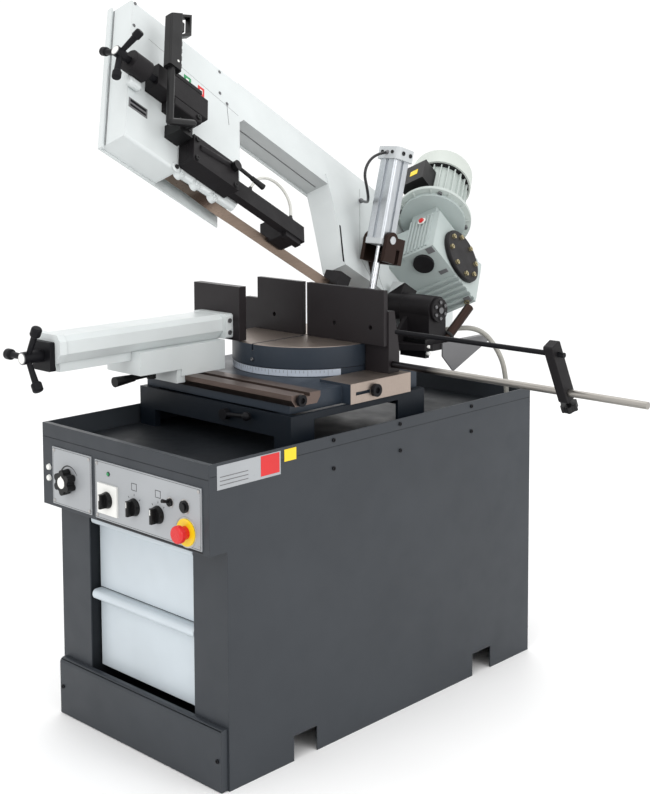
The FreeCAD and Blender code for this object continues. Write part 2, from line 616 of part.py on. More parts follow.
def lower_housing():
    """Sheet fairing over the lower part of the idler wheel, open underneath for the blade."""
    outer = bow_outline([(657, 22), (672, -4), (885 - GAP, -10), (885 - GAP, 62 - GAP), (657, 62 - GAP)],
                        BACK_N, LOBE_N)
    outer = round_edges(outer, 7, lambda e: e.BoundBox.YMin > LOBE_N - 1 and e.BoundBox.ZMax < 61)
    spots = [(868, -4), (812, -5), (748, -6)]
    outer = fuse(outer, *[bow_disc(s, w, 14, 20, LOBE_N) for s, w in spots])
    room = box(661, 881, BACK_N - 1, 23, -20, 58)
    way_out = box(650, 670, -18, 18, -20, 24)
    shell = outer.cut(room).cut(way_out).cut(bow_disc(IDLER_S, WHEEL_R, 197, BACK_N - 1, 23))
    shell = shell.cut(bow_disc(IDLER_S - 20, WHEEL_R, 197, BACK_N - 1, 23))
    screws = [socket_screw((s, LOBE_N, w), Y_AXIS, 6, 4, 3, 0) for s, w in spots]
    export("lower_blade_housing", in_bow(fuse(shell, *screws)))


def wheel(s, n_rim, hub_r):
    """Spoked band wheel with a rim, a web with holes and a hub."""
    rim = tube((s, -n_rim, WHEEL_R), Y_AXIS, WHEEL_R - 0.06, WHEEL_R - 18, 2 * n_rim)
    web = rod((s, -4, WHEEL_R), Y_AXIS, WHEEL_R - 10, 8)
    for index in range(6):
        angle = math.radians(60 * index)
        web = web.cut(rod((s + 110 * math.cos(angle), -6, WHEEL_R + 110 * math.sin(angle)), Y_AXIS, 32, 12))
    hub = rod((s, -n_rim, WHEEL_R), Y_AXIS, hub_r, 2 * n_rim)
    return fuse(rim, web, hub)


def blade():
    """Endless band: two half rings, the straight upper run and the cutting run with its twists."""
    half = BLADE_WIDTH / 2
    outer = WHEEL_R + BLADE_THICK
    front = tube((IDLER_S, -half, WHEEL_R), Y_AXIS, outer, WHEEL_R, BLADE_WIDTH)
    front = front.cut(box(IDLER_S - 300, IDLER_S, -40, 40, -100, 500))
    rear = tube((DRIVE_S, -half, WHEEL_R), Y_AXIS, outer, WHEEL_R, BLADE_WIDTH)
    rear = rear.cut(box(DRIVE_S, DRIVE_S + 300, -40, 40, -100, 500))
    upper = box(DRIVE_S, IDLER_S, -half, half, 2 * WHEEL_R, 2 * WHEEL_R + BLADE_THICK)
    turn = 90.0 - TILT_DEG
    stations = [(DRIVE_S, 0.0), (DRIVE_S + 40, 0.0)]
    stations += [(DRIVE_S + 40 + 15.0 * i, turn * i / 15.0) for i in range(1, 16)]
    stations += [(636.0 + 11.0 * i, turn * (1 - i / 14.0)) for i in range(0, 15)]
    stations += [(IDLER_S, 0.0)]
    wires = [band_section(s, angle) for s, angle in stations]
    pieces = []
    for first, second in zip(wires, wires[1:]):
        pieces.append(Part.makeLoft([first, second], True, True))
    return front.multiFuse([rear, upper] + pieces)


def band_section(s, angle_deg):
    """Band section at a station, turned about its own centre."""
    half_w = BLADE_WIDTH / 2
    half_t = BLADE_THICK / 2
    turn = math.radians(angle_deg)
    centre_w = -half_t
    corners = []
    for a, b in ((-half_w, -half_t), (half_w, -half_t), (half_w, half_t), (-half_w, half_t)):
        n = a * math.cos(turn) - b * math.sin(turn)
        w = a * math.sin(turn) + b * math.cos(turn)
        corners.append(V(s, n, centre_w + w))
    return Part.makePolygon(corners + [corners[0]])


def wheels_and_blade():
    drive = fuse(wheel(DRIVE_S, 15, 46), bow_disc(DRIVE_S, WHEEL_R, 25, 10, 150))
    export("drive_wheel", in_bow(drive))
    idler = wheel(IDLER_S, 15, 42).cut(bow_disc(IDLER_S, WHEEL_R, 18.05, -16, 16))
    export("idler_wheel", in_bow(idler))
    export("saw_blade", in_bow(blade()))


def blade_tension():
    n0, n1 = FACE_N + GAP, 84.0
    slider = box(828, 1004, n0, n1, 158, 222)
    slider = round_edges(slider, 3, lambda e: runs_along(e, X_AXIS) and e.BoundBox.YMin > n1 - 1)
    axle = rod((IDLER_S, -15, WHEEL_R), Y_AXIS, 18, 15 + n0 + 1)
    washer = rod((IDLER_S, -21, WHEEL_R), Y_AXIS, 25, 6 - GAP)
    hole = rod((950, SCREW_N, SCREW_W), X_AXIS, 9.05, 60)
    slider = slider.cut(hole)
    axle_end = rod((IDLER_S, -21, WHEEL_R), Y_AXIS, 12, 8)
    export("tension_slider", in_bow(fuse(slider, axle, washer, axle_end)))

    barrel = rod((1036, SCREW_N, SCREW_W), X_AXIS, 28, 55)
    barrel = fuse(barrel, box(1038, 1058, FACE_N, SCREW_N, 158, 196))
    export("tension_barrel", in_bow(barrel.cut(rod((1030, SCREW_N, SCREW_W), X_AXIS, 9.05, 80))))
    screw = rod((965, SCREW_N, SCREW_W), X_AXIS, 9, 150)
    wheel_centre = (1122, SCREW_N, SCREW_W)
    wheel_shape = three_arm_wheel(wheel_centre, X_AXIS, Y_AXIS, Z_AXIS, 62, 13, 28, 6, 11, 22, 25)
    export("tension_handwheel", in_bow(fuse(screw, wheel_shape)))


def blade_guides():
    bar = box(428, 880, FACE_N + 4 + GAP, 66, 12, 60)
    below_table = box(-300, 300, -500, 500, 600, TABLE_Z + 5.5)
    blade_slot = box(SWIVEL_X - 0.95, SWIVEL_X + 0.95, -500, 500, 800, 936)
    lowered = raise_placement().inverse().multiply(bow_placement())
    head = fuse(place(box(452, 506, -18, 50, 0, 66), lowered),
                place(box(440, 500, 44, 62, -2, 14), lowered), place(bar, lowered))
    head = head.cut(below_table).cut(blade_slot)
    export("guide_arm", from_lowered(head))

    rear = box(SWIVEL_X - 26, SWIVEL_X + 30, 112, 158, TABLE_Z + 5.5, 964)
    rear = rear.cut(blade_slot).cut(place(box(0, 400, -80, 80, 62 - GAP, 300), lowered))
    export("rear_guide", from_lowered(rear))

    clamp = box(716, 880, FACE_N, 88, 4, 80)
    clamp = clamp.cut(box(600, 900, FACE_N + 4, 66 + GAP, 12 - GAP, 60 + GAP))
    export("guide_clamp", in_bow(clamp))
    reach = V(-0.97, 0.05, -0.13)
    lever_hub = rod((734, 88 + GAP, 66), Y_AXIS, 13, 14)
    lever = rod((734, 96, 66), reach, 5, 62)
    grip = cone((679, 98.8, 58.6), reach, 6, 8, 42)
    export("guide_lever", in_bow(fuse(lever_hub, lever, grip)))


def handle():
    """Bent tube from a block on the head to an upright pistol handle with a guarded trigger."""
    n, w_low, w_elbow, s_top = 112.0, 79.0, 36.0, 990.0
    start = rod((912, 84, w_low), Y_AXIS, 9, n - 84)
    low = rod((912, n, w_low), V(s_top - 912, 0, w_elbow - w_low), 9, math.hypot(s_top - 912, w_elbow - w_low))
    up = rod((s_top, n, w_elbow), Z_AXIS, 9, 170)
    bends = [ball((912, n, w_low), 9), ball((s_top, n, w_elbow), 9)]
    arm = box(888, 932, FACE_N, 90, w_low - 18, w_low + 18)
    grip = bow_outline([(s_top - 24, 199), (s_top + 18, 199), (s_top + 18, 361), (s_top - 24, 389)],
                       n - 12, n + 12)
    grip = round_edges(grip, 5, lambda e: runs_along(e, Z_AXIS))
    guard = bow_outline([(s_top - 23, 313), (s_top - 23, 388), (s_top - 58, 411), (s_top - 58, 341)],
                        n - 8, n + 8)
    guard = guard.cut(bow_outline([(s_top - 24, 322), (s_top - 24, 380), (s_top - 52, 399),
                                   (s_top - 52, 348)], n - 9, n + 9))
    pocket = box(s_top - 25, s_top - 14, n - 5, n + 5, 335, 371)
    whole = fuse(arm, start, low, up, grip, guard, *bends).cut(pocket)
    export("pistol_handle", in_bow(whole))
    trigger = box(s_top - 36, s_top - 18, n - 4.5, n + 4.5, 338, 368)
    export("handle_trigger", in_bow(round_edges(trigger, 2, lambda e: runs_along(e, Y_AXIS))))


def gearbox():
    """Ribbed block with the worm's tube along one side, and the motor's seat on top of the tube."""
    n0, n1 = HOUSING_N, 204.0
    block = box(-105, 113, n0, n1, -82, 78)
    block = round_edges(block, 10, lambda e: runs_along(e, Y_AXIS))
    worm_case = box(WORM_B - 46, WORM_B + 42, WORM_N - 46, 204, -82, 82)
    fins = [box(b, b + 8, 60, 204, -88, 82) for b in (-104, -84, -64, -44, -24, -4)]
    fins += [box(WORM_B + 41, WORM_B + 46, y, y + 5, -70, 82) for y in (104, 116, 128, 140, 152, 164, 176)]
    block = fuse(block, worm_case, *fins)
    hollow = rod((0, n0 + 8, 0), Y_AXIS, 62, 135)
    worm_room = rod((WORM_B, WORM_N, -66), Z_AXIS, 30, 160)
    shaft_hole = rod((0, n0 - 1, 0), Y_AXIS, 25.05, 12)
    block = block.cut(hollow).cut(worm_room).cut(shaft_hole)
    neck = box(WORM_B - 42, WORM_B + 42, WORM_N - 42, WORM_N + 42, 82, MOTOR_A - 22)
    seat = fuse(neck, rod((WORM_B, WORM_N, MOTOR_A - 22), Z_AXIS, 96, 14))
    seat = seat.cut(rod((WORM_B, WORM_N, 80), Z_AXIS, 30, 60))
    export("gearbox_housing", in_gear(group([block, seat])))
    end_cap = rod((WORM_B, WORM_N, -92), Z_AXIS, 30, 10)

    cover = rod((0, 206, 0), Y_AXIS, 80, 12)
    cover = round_edges(cover, 4, lambda e: e.BoundBox.YMin > 217)
    bolts = [socket_screw((62 * math.cos(a), 218, 62 * math.sin(a)), Y_AXIS, 7, 6, 3, 0)
             for a in [math.radians(22.5 + 45 * i) for i in range(8)]]
    corner_bolt = socket_screw((-92, n1 - 22, -88), V(0, 0, -1), 8, 6, 3, 0)
    export("gearbox_fittings", in_gear(group([cover, end_cap, corner_bolt] + bolts)))


def around_motor(angle_deg):
    """Placement at the motor's axis, turned about it."""
    return FreeCAD.Placement(V(WORM_B, WORM_N, 0), FreeCAD.Rotation(Z_AXIS, angle_deg))


def motor():
    """End flange, finned stator and terminal box as three solids, then the fan cowl."""
    flange = rod((WORM_B, WORM_N, MOTOR_A - 8), Z_AXIS, 112, 14)
    flange = round_edges(flange, 3, lambda e: e.BoundBox.ZMin > MOTOR_A + 5)
    flange = flange.cut(box(-200, 300, 0, HOUSING_N + 1, 0, 300))
    body = rod((WORM_B, WORM_N, MOTOR_A + 6), Z_AXIS, 76, 154)
    fin = box(70, 86, -1.6, 1.6, MOTOR_A + 12, MOTOR_A + 156)
    fins = [place(fin, around_motor(15.0 * index + 7.5)) for index in range(24)]
    stator = fuse(body, *fins)
    terminal_box = box(70, 124, -38, 38, MOTOR_A + 30, MOTOR_A + 120)
    terminal_box = place(terminal_box, around_motor(TERMINAL_TURN_DEG)).cut(stator)
    terminal_box = max(terminal_box.Solids, key=lambda solid: solid.Volume)
    stator = stator.cut(rod((WORM_B, WORM_N, MOTOR_A + 14), Z_AXIS, 56, 134))
    export("motor_body", in_gear(group([flange, stator, terminal_box])))

    top = MOTOR_A + 160 + 82
    cowl = rod((WORM_B, WORM_N, MOTOR_A + 160), Z_AXIS, 93, 82)
    cowl = round_edges(cowl, 26, lambda e: e.BoundBox.ZMin > top - 1)
    inner = rod((WORM_B, WORM_N, MOTOR_A + 170), Z_AXIS, 89, 66)
    inner = round_edges(inner, 24, lambda e: e.BoundBox.ZMin > MOTOR_A + 235)
    cowl = cowl.cut(inner)
    for offset in (-44, -33, -22, -11, 0, 11, 22, 33, 44):
        reach = math.sqrt(60 ** 2 - offset ** 2)
        cowl = cowl.cut(box(WORM_B - reach, WORM_B + reach, WORM_N + offset - 2.5, WORM_N + offset + 2.5,
                            top - 8, top + 1))
    export("fan_cowl", in_gear(cowl))


# ---------------------------------------------------------------- hydraulic cylinder

def cylinder():
    profile = box(-30, 30, -30, 30, 0, 222)
    profile = round_edges(profile, 9, lambda e: runs_along(e, Z_AXIS))
    grooves = []
    for sx, sy in ((1, 0), (-1, 0), (0, 1), (0, -1)):
        grooves.append(box(min(sx * 24, sx * 34) - 5 * abs(sy), max(sx * 24, sx * 34) + 5 * abs(sy),
                           min(sy * 24, sy * 34) - 5 * abs(sx), max(sy * 24, sy * 34) + 5 * abs(sx),
                           -1, 223))
    for groove in grooves:
        profile = profile.cut(groove)
    barrel = fuse(profile, box(-24, 24, -24, 24, 0, 222))
    lower_cap = round_edges(box(-29, 29, -31, 31, -16, 0), 5, lambda e: runs_along(e, Z_AXIS))
    trunnions = rod((-46, 0, 0), X_AXIS, 11, 92)
    barrel = fuse(barrel, lower_cap, trunnions)
    barrel = barrel.cut(rod((0, 0, 4), Z_AXIS, 21, 214)).cut(rod((0, 0, -20), Z_AXIS, 9.05, 40))
    top = round_edges(box(-40, 40, -36, 36, 222, 256), 14, lambda e: runs_along(e, Z_AXIS))
    export("cylinder_barrel", in_cylinder(fuse(barrel, top)))

    reach = math.hypot(TRUNNION[0] - FOOT[0], TRUNNION[1] - FOOT[1])
    stem = rod((0, 0, -reach + 14), Z_AXIS, 9, reach - 14 + 96)
    piston = rod((0, 0, 84), Z_AXIS, 20.95, 20)
    eye = rod((-9, 0, -reach), X_AXIS, 18, 18)
    neck = rod((0, 0, -reach + 12), Z_AXIS, 10, 14)
    ram = fuse(stem, piston, eye, neck).cut(rod((-12, 0, -reach), X_AXIS, 13, 24))
    export("cylinder_rod", in_cylinder(ram))


def yoke():
    """Two ears for the trunnions, with a leg down to the side of the rear housing."""
    ears = []
    for x0, x1 in ((-44.0, -32.0), (32.0, 44.0)):
        ear = rod((x0, 0, 0), X_AXIS, 22, x1 - x0)
        ear = ear.fuse(box(x0, x1, -22, 22, -62, 0))
        ears.append(ear)
    bridge = box(-44, 44, 36, 52, -62, 10)
    arms = [box(-44, -32, 0, 52, -22, 10), box(32, 44, 0, 52, -22, 10)]
    body = fuse(*(ears + arms + [bridge]))
    body = body.cut(rod((-60, 0, 0), X_AXIS, 11.05, 120))
    body = in_cylinder(body)
    reach = in_cylinder(box(-120, -32, 38, 52, -150, 10))
    mount = fuse(body, reach)
    block = in_bow(box(-500, 900, -300, HOUSING_N, -300, 700))
    export("cylinder_yoke", mount.cut(block))


def swept_tube(points, radius, bend):
    """Plain tube of straight runs joined by tangent arcs, along a list of points."""
    edges = []
    start = V(*points[0])
    for index in range(1, len(points) - 1):
        corner = V(*points[index])
        into = corner.sub(V(*points[index - 1]))
        out = V(*points[index + 1]).sub(corner)
        turn = into.getAngle(out)
        cut_back = bend * min(into.Length, out.Length)
        arc_radius = cut_back / math.tan(turn / 2)
        first = corner.sub(V(into.x, into.y, into.z).normalize().multiply(cut_back))
        last = corner.add(V(out.x, out.y, out.z).normalize().multiply(cut_back))
        to_centre = V(out.x, out.y, out.z).normalize().sub(V(into.x, into.y, into.z).normalize())
        centre = corner.add(to_centre.normalize().multiply(arc_radius / math.cos(turn / 2)))
        middle = centre.add(corner.sub(centre).normalize().multiply(arc_radius))
        edges.append(Part.LineSegment(start, first).toShape())
        edges.append(Part.Arc(first, middle, last).toShape())
        print("  bend radius", round(arc_radius, 1), "turn", round(math.degrees(turn)))
        start = last
    edges.append(Part.LineSegment(start, V(*points[-1])).toShape())
    wire = Part.Wire(edges)
    direction = V(*points[1]).sub(V(*points[0]))
    section = Part.Wire([Part.Circle(V(*points[0]), direction, radius).toShape()])
    tube_shape = wire.makePipeShell([section], True, True)
    expected = math.pi * radius ** 2 * wire.Length
    print("  length", round(wire.Length, 1), "volume ratio", round(tube_shape.Volume / expected, 4))
    return tube_shape


# routes of the free hoses; the coolant hose is in the bow frame, the others in the row frame
HYDRAULIC_ROUTE = [(8, 308.5, 1399.9), (8, 256, 1398), (8, 212, 1353), (8, 229, 1297), (-32, 276, 1264),
                   (-92, 330, 1258), (-149.8, 374, 1258)]
COOLANT_ROUTE = [(640, 58, 62), (618, 58, 112), (560, 58, 150), (500, 58, 148), (466, 58, 104),
                 (476, 58, 62)]
CONDUIT_ROUTE = [(110, 392.4, 903), (114, 452, 906), (178, 512, 908), (230, 532, 842), (252, 534, 774),
                 (254, 534, 700.6)]


def hoses():
    bend = 0.45
    export("hydraulic_hose", swept_tube(HYDRAULIC_ROUTE, 4, bend))
    export("coolant_hose", in_bow(swept_tube(COOLANT_ROUTE, 4, bend)))
    export("cable_conduit", swept_tube(CONDUIT_ROUTE, 7, bend))


def rear_bracket():
    """Plate that reaches back from the swivel arm, with a folded flange under the buffer."""
    plate = outline_yz([(355, 845), (355, 882), (562, 882), (562, 866), (402, 798)], 165, 169)
    flange = box(150, 169, 409, 562, 879, 882)
    export("rear_bracket", fuse(plate, flange))


cabinet()
drawers()
control_panel()
bed()
swivel()
jaw_right()
jaw_left()
vise()
length_stop()
bow_frame()
bow_cover()
lower_housing()
wheels_and_blade()
blade_tension()
blade_guides()
handle()
gearbox()
motor()
cylinder()
yoke()
hoses()
rear_bracket()
base_screws()
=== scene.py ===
import json
import math

import bmesh
import bpy
from mathutils import Matrix, Vector

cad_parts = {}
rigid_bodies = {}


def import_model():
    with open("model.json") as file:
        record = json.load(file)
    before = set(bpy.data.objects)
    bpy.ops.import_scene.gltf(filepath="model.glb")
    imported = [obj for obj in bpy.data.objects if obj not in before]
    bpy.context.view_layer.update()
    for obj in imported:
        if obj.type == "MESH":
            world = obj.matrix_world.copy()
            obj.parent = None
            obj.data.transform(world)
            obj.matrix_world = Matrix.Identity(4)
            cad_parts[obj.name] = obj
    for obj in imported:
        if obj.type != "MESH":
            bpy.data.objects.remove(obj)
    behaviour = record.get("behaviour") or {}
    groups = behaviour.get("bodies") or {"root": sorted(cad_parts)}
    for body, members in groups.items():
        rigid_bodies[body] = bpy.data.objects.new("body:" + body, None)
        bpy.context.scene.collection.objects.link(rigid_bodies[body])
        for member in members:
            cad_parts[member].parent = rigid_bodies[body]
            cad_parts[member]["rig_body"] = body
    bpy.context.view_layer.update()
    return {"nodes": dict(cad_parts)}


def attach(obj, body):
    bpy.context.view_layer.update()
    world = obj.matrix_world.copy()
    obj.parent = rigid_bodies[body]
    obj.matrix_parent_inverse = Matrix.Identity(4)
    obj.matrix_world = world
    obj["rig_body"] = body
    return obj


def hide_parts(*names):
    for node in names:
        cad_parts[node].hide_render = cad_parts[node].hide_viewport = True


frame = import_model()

# Row frame in metres: Z up, origin on the floor under the cabinet, -Y the operator side, +X the side
# with the length stop.
nodes = frame["nodes"]
MM = 0.001

# ---------------------------------------------------------------- frames of the tilted parts

PIVOT = Vector((0.0, 0.355, 0.971))                      # the bow's pivot, its axis along X
RAISE = math.radians(29.5)                               # the bow is drawn raised by this
TILT = math.radians(28.0)                                # the bow leans about its own long axis
SWIVEL = Vector((-0.038, 0.040, 0.0))                    # the turntable's axis, along Z
BOW_ORIGIN = Vector((SWIVEL.x, PIVOT.y, 0.921))          # of the bow frame, with the bow lowered
GEAR_PLACE = Vector((-0.130, 0, 0.190))                  # the drive wheel's centre in the bow frame
GEAR_TURN = math.radians(-21.5)
WORM = Vector((0.080, 0.146, 0.0))                       # the motor's axis in the gear frame
YOKE_PIN = Vector((0.008, 0.282, 1.161))                 # the cylinder's foot, with the bow raised
CYLINDER_LEAN = math.atan2(0.070, 0.256)


def frame_matrix(origin, x_axis, y_axis, z_axis):
    """Matrix of a frame from its origin and axes."""
    matrix = Matrix((x_axis, y_axis, z_axis)).transposed().to_4x4()
    matrix.translation = origin
    return matrix


ROW = Matrix.Identity(4)
LOWERED = frame_matrix(BOW_ORIGIN, (0, -1, 0),
                       (math.cos(TILT), 0, math.sin(TILT)), (-math.sin(TILT), 0, math.cos(TILT)))
LIFT = Matrix.Translation(PIVOT) @ Matrix.Rotation(-RAISE, 4, "X") @ Matrix.Translation(-PIVOT)
BOW = LIFT @ LOWERED                                     # X to the head, Y out of the face, Z up
GEAR = BOW @ Matrix.Translation(GEAR_PLACE) @ Matrix.Rotation(GEAR_TURN, 4, "Y")
CYLINDER = Matrix.Translation(YOKE_PIN) @ Matrix.Rotation(-CYLINDER_LEAN, 4, "X")
TO_BOW = BOW.inverted()
TO_GEAR = GEAR.inverted()
TO_CYLINDER = CYLINDER.inverted()


# ---------------------------------------------------------------- camera

def camera():
    """Camera fitted to the cabinet's edges in the photo."""
    data = bpy.data.cameras.new("camera")
    view = bpy.data.objects.new("camera", data)
    bpy.context.scene.collection.objects.link(view)
    view.location = (2.490, -2.507, 1.493)
    view.rotation_euler = (math.radians(90 - 5.02), math.radians(0.22), math.radians(44.0))
    data.lens = 61.7
    data.sensor_width = 36
    data.shift_y = -0.2
    bpy.context.scene.camera = view


camera()

# ---------------------------------------------------------------- materials

def srgb(red, green, blue):
    """Linear colour from 8-bit screen values."""
    def linear(value):
        value = value / 255
        return value / 12.92 if value <= 0.04045 else ((value + 0.055) / 1.055) ** 2.4
    return (linear(red), linear(green), linear(blue), 1.0)


def scaled(colour, factor):
    return tuple(min(1.0, channel * factor) for channel in colour[:3]) + (1.0,)


class Surface:
    """A Principled material with object coordinates and small node helpers."""

    def __init__(self, name, metallic=0.0):
        self.material = bpy.data.materials.new(name)
        self.material.use_nodes = True
        self.tree = self.material.node_tree
        self.shader = self.tree.nodes["Principled BSDF"]
        self.shader.inputs["Metallic"].default_value = metallic
        self.place = self.tree.nodes.new("ShaderNodeTexCoord").outputs["Object"]

    def link(self, source, target):
        self.tree.links.new(source, target)

    def noise(self, scale, detail=4.0, stretch=None):
        """Noise from 0 to 1, stretched along an axis if asked."""
        texture = self.tree.nodes.new("ShaderNodeTexNoise")
        texture.inputs["Scale"].default_value = scale
        texture.inputs["Detail"].default_value = detail
        source = self.place
        if stretch:
            mapping = self.tree.nodes.new("ShaderNodeMapping")
            mapping.inputs["Scale"].default_value = stretch
            self.link(source, mapping.inputs["Vector"])
            source = mapping.outputs["Vector"]
        self.link(source, texture.inputs["Vector"])
        return texture.outputs["Fac"]

    def ramp(self, source, stops):
        """Colour ramp over (position, colour) stops."""
        node = self.tree.nodes.new("ShaderNodeValToRGB")
        elements = node.color_ramp.elements
        while len(elements) < len(stops):
            elements.new(0.5)
        for element, (position, colour) in zip(elements, stops):
            element.position = position
            element.color = colour
        self.link(source, node.inputs["Fac"])
        return node.outputs["Color"]

    def mix(self, factor, first, second):
        """Blend of two colours by a factor output."""
        node = self.tree.nodes.new("ShaderNodeMix")
        node.data_type = "RGBA"
        self.link(factor, node.inputs[0])
        for socket, value in ((node.inputs[6], first), (node.inputs[7], second)):
            if isinstance(value, tuple):
                socket.default_value = value
            else:
                self.link(value, socket)
        return node.outputs[2]

    def span(self, source, low, high, to_low, to_high):
        """Source range mapped to another range."""
        node = self.tree.nodes.new("ShaderNodeMapRange")
        limits = {"From Min": low, "From Max": high, "To Min": to_low, "To Max": to_high}
        for name, value in limits.items():
            node.inputs[name].default_value = value
        self.link(source, node.inputs["Value"])
        return node.outputs["Result"]

    def edges(self, radius):
        """Rounded normal, and a mask that is 1 along edges."""
        bevel = self.tree.nodes.new("ShaderNodeBevel")
        bevel.samples = 4
        bevel.inputs["Radius"].default_value = radius
        geometry = self.tree.nodes.new("ShaderNodeNewGeometry")
        product = self.tree.nodes.new("ShaderNodeVectorMath")
        product.operation = "DOT_PRODUCT"
        self.link(bevel.outputs["Normal"], product.inputs[0])
        self.link(geometry.outputs["Normal"], product.inputs[1])
        return bevel.outputs["Normal"], self.span(product.outputs["Value"], 0.97, 0.80, 0.0, 1.0)

    def bump(self, height, strength, distance, normal=None):
        node = self.tree.nodes.new("ShaderNodeBump")
        node.inputs["Strength"].default_value = strength
        node.inputs["Distance"].default_value = distance
        self.link(height, node.inputs["Height"])
        if normal is not None:
            self.link(normal, node.inputs["Normal"])
        return node.outputs["Normal"]

    def finish(self, colour, roughness, normal):
        self.link(colour, self.shader.inputs["Base Color"])
        self.link(roughness, self.shader.inputs["Roughness"])
        self.link(normal, self.shader.inputs["Normal"])
        return self.material


def paint(name, colour, roughness=0.38, grain=900.0, grain_depth=0.00008, worn=1.35, edge=0.0015,
          gloss=0.5):
    """Sprayed paint: slight cloudiness, orange-peel bump, lighter rubbed edges."""
    surface = Surface(name)
    surface.shader.inputs["Specular IOR Level"].default_value = gloss
    cloud = surface.ramp(surface.noise(5.0, 3.0), [(0.3, scaled(colour, 0.93)), (0.7, scaled(colour, 1.05))])
    normal, mask = surface.edges(edge)
    scuff = surface.tree.nodes.new("ShaderNodeMath")
    scuff.operation = "MULTIPLY"
    surface.link(mask, scuff.inputs[0])
    surface.link(surface.span(surface.noise(40.0), 0.40, 0.65, 0.0, 0.8), scuff.inputs[1])
    tone = surface.mix(scuff.outputs["Value"], cloud, scaled(colour, worn))
    rough = surface.span(surface.noise(18.0, 6.0), 0.3, 0.7, roughness - 0.06, roughness + 0.08)
    return surface.finish(tone, rough, surface.bump(surface.noise(grain, 2.0), 0.35, grain_depth, normal))


def casting(name, colour, roughness=0.5, gloss=0.5):
    """Painted casting: coarse sand texture under the paint."""
    return paint(name, colour, roughness, grain=260.0, grain_depth=0.0006, worn=1.25, edge=0.0025,
                 gloss=gloss)


def plastic(name, colour, roughness=0.35, grain=700.0, gloss=0.5):
    """Moulded plastic: fine grain and a faint sheen variation."""
    return paint(name, colour, roughness, grain=grain, grain_depth=0.00010, worn=1.2, edge=0.0008,
                 gloss=gloss)


def metal(name, colour, roughness=0.3, stretch=(1.0, 60.0, 60.0), worn=1.2):
    """Machined metal: fine lines along one axis and a little tarnish."""
    surface = Surface(name, metallic=1.0)
    lines = surface.noise(12.0, 6.0, stretch)
    tone = surface.ramp(lines, [(0.25, scaled(colour, 0.80)), (0.75, scaled(colour, 1.12))])
    stain = surface.span(surface.noise(14.0, 5.0), 0.45, 0.75, 0.0, 0.35)
    tone = surface.mix(stain, tone, scaled(colour, 0.6))
    normal, mask = surface.edges(0.0010)
    tone = surface.mix(mask, tone, scaled(colour, worn))
    rough = surface.span(lines, 0.2, 0.8, roughness - 0.07, roughness + 0.12)
    return surface.finish(tone, rough, surface.bump(lines, 0.25, 0.0001, normal))


WAVE_SCALE_PER_RIB = 0.500016                            # of the wave texture, for ribs in a metre


def ribbed(name, colour, ribs_per_metre, axis):
    """Corrugated hose: rings across one axis, darkened in the troughs as painted shade between the ribs."""
    surface = Surface(name)
    wave = surface.tree.nodes.new("ShaderNodeTexWave")
    wave.bands_direction = axis
    wave.inputs["Scale"].default_value = ribs_per_metre * WAVE_SCALE_PER_RIB
    surface.link(surface.place, wave.inputs["Vector"])
    # The ramp darkens the wave's troughs to about half: painted shade in the grooves between the ribs.
    tone = surface.ramp(wave.outputs["Fac"], [(0.0, scaled(colour, 0.55)), (0.6, scaled(colour, 1.05))])
    rough = surface.span(surface.noise(50.0), 0.3, 0.7, 0.38, 0.55)
    return surface.finish(tone, rough, surface.bump(wave.outputs["Fac"], 0.6, 0.0012))


def fading_rod(name, dark, light, start, end):
    """Rod that is blackened near one end and bright beyond, along X."""
    surface = Surface(name, metallic=1.0)
    separate = surface.tree.nodes.new("ShaderNodeSeparateXYZ")
    surface.link(surface.place, separate.inputs["Vector"])
    share = surface.span(separate.outputs["X"], start, end, 0.0, 1.0)
    lines = surface.noise(12.0, 6.0, (1.0, 60.0, 60.0))
    bright = surface.ramp(lines, [(0.25, scaled(light, 0.8)), (0.75, scaled(light, 1.1))])
    tone = surface.mix(share, dark, bright)
    rough = surface.span(lines, 0.2, 0.8, 0.28, 0.45)
    return surface.finish(tone, rough, surface.bump(lines, 0.2, 0.0001))


CABINET = paint("cabinet_paint", srgb(50, 54, 59), 0.42, gloss=0.3)
# Near-black, darker than the cabinet's paint: painted shade inside the recess on the tray deck and inner
# frame, and along the rim folds.
TRAY_AND_FOLD_SHADE = paint("tray_and_fold_painted_shade", srgb(28, 31, 35), 0.5, gloss=0.2)
DRAWER = paint("drawer_paint", srgb(196, 205, 211), 0.35)
BOW_PAINT = paint("bow_paint", srgb(205, 210, 210), 0.36, worn=1.0)
# Darker grey: painted shade for the beam's underside, also used for the lines on the drive leg.
BOW_SHADE = paint("bow_painted_shade_grey", srgb(176, 180, 180), 0.4)
PANEL = paint("panel_foil", srgb(160, 163, 166), 0.33)
WHITE_PLASTIC = plastic("white_plastic", srgb(232, 232, 228))
BLACK_PLASTIC = plastic("black_plastic", srgb(17, 17, 18), 0.38, gloss=0.25)
BLACK_PAINT = paint("black_paint", srgb(20, 20, 23), 0.40, worn=2.2, gloss=0.12)
BLACK_CAST = casting("black_casting", srgb(24, 22, 24), 0.5, gloss=0.2)
BED = casting("bed_casting_paint", srgb(42, 50, 60), 0.42, gloss=0.3)
GREY_STEEL = paint("bracket_paint", srgb(104, 104, 106), 0.45)
BROWN_BLACK = metal("oiled_black_steel", srgb(58, 46, 42), 0.42)
RED_PLASTIC = plastic("red_plastic", srgb(206, 28, 30), 0.28)
YELLOW_PLASTIC = plastic("yellow_plastic", srgb(240, 205, 20), 0.35)
GREEN_PLASTIC = plastic("green_plastic", srgb(20, 140, 80), 0.3)
MACHINED = metal("machined_steel", srgb(188, 186, 184), 0.32)
TABLE_STEEL = metal("table_steel", srgb(156, 144, 136), 0.42)
RAIL_STEEL = metal("rail_steel", srgb(112, 98, 92), 0.40)
BLOCK_STEEL = metal("block_steel", srgb(172, 158, 148), 0.38)
JAW_STEEL = paint("blackened_jaws", srgb(31, 27, 29), 0.42, worn=2.0, gloss=0.25)
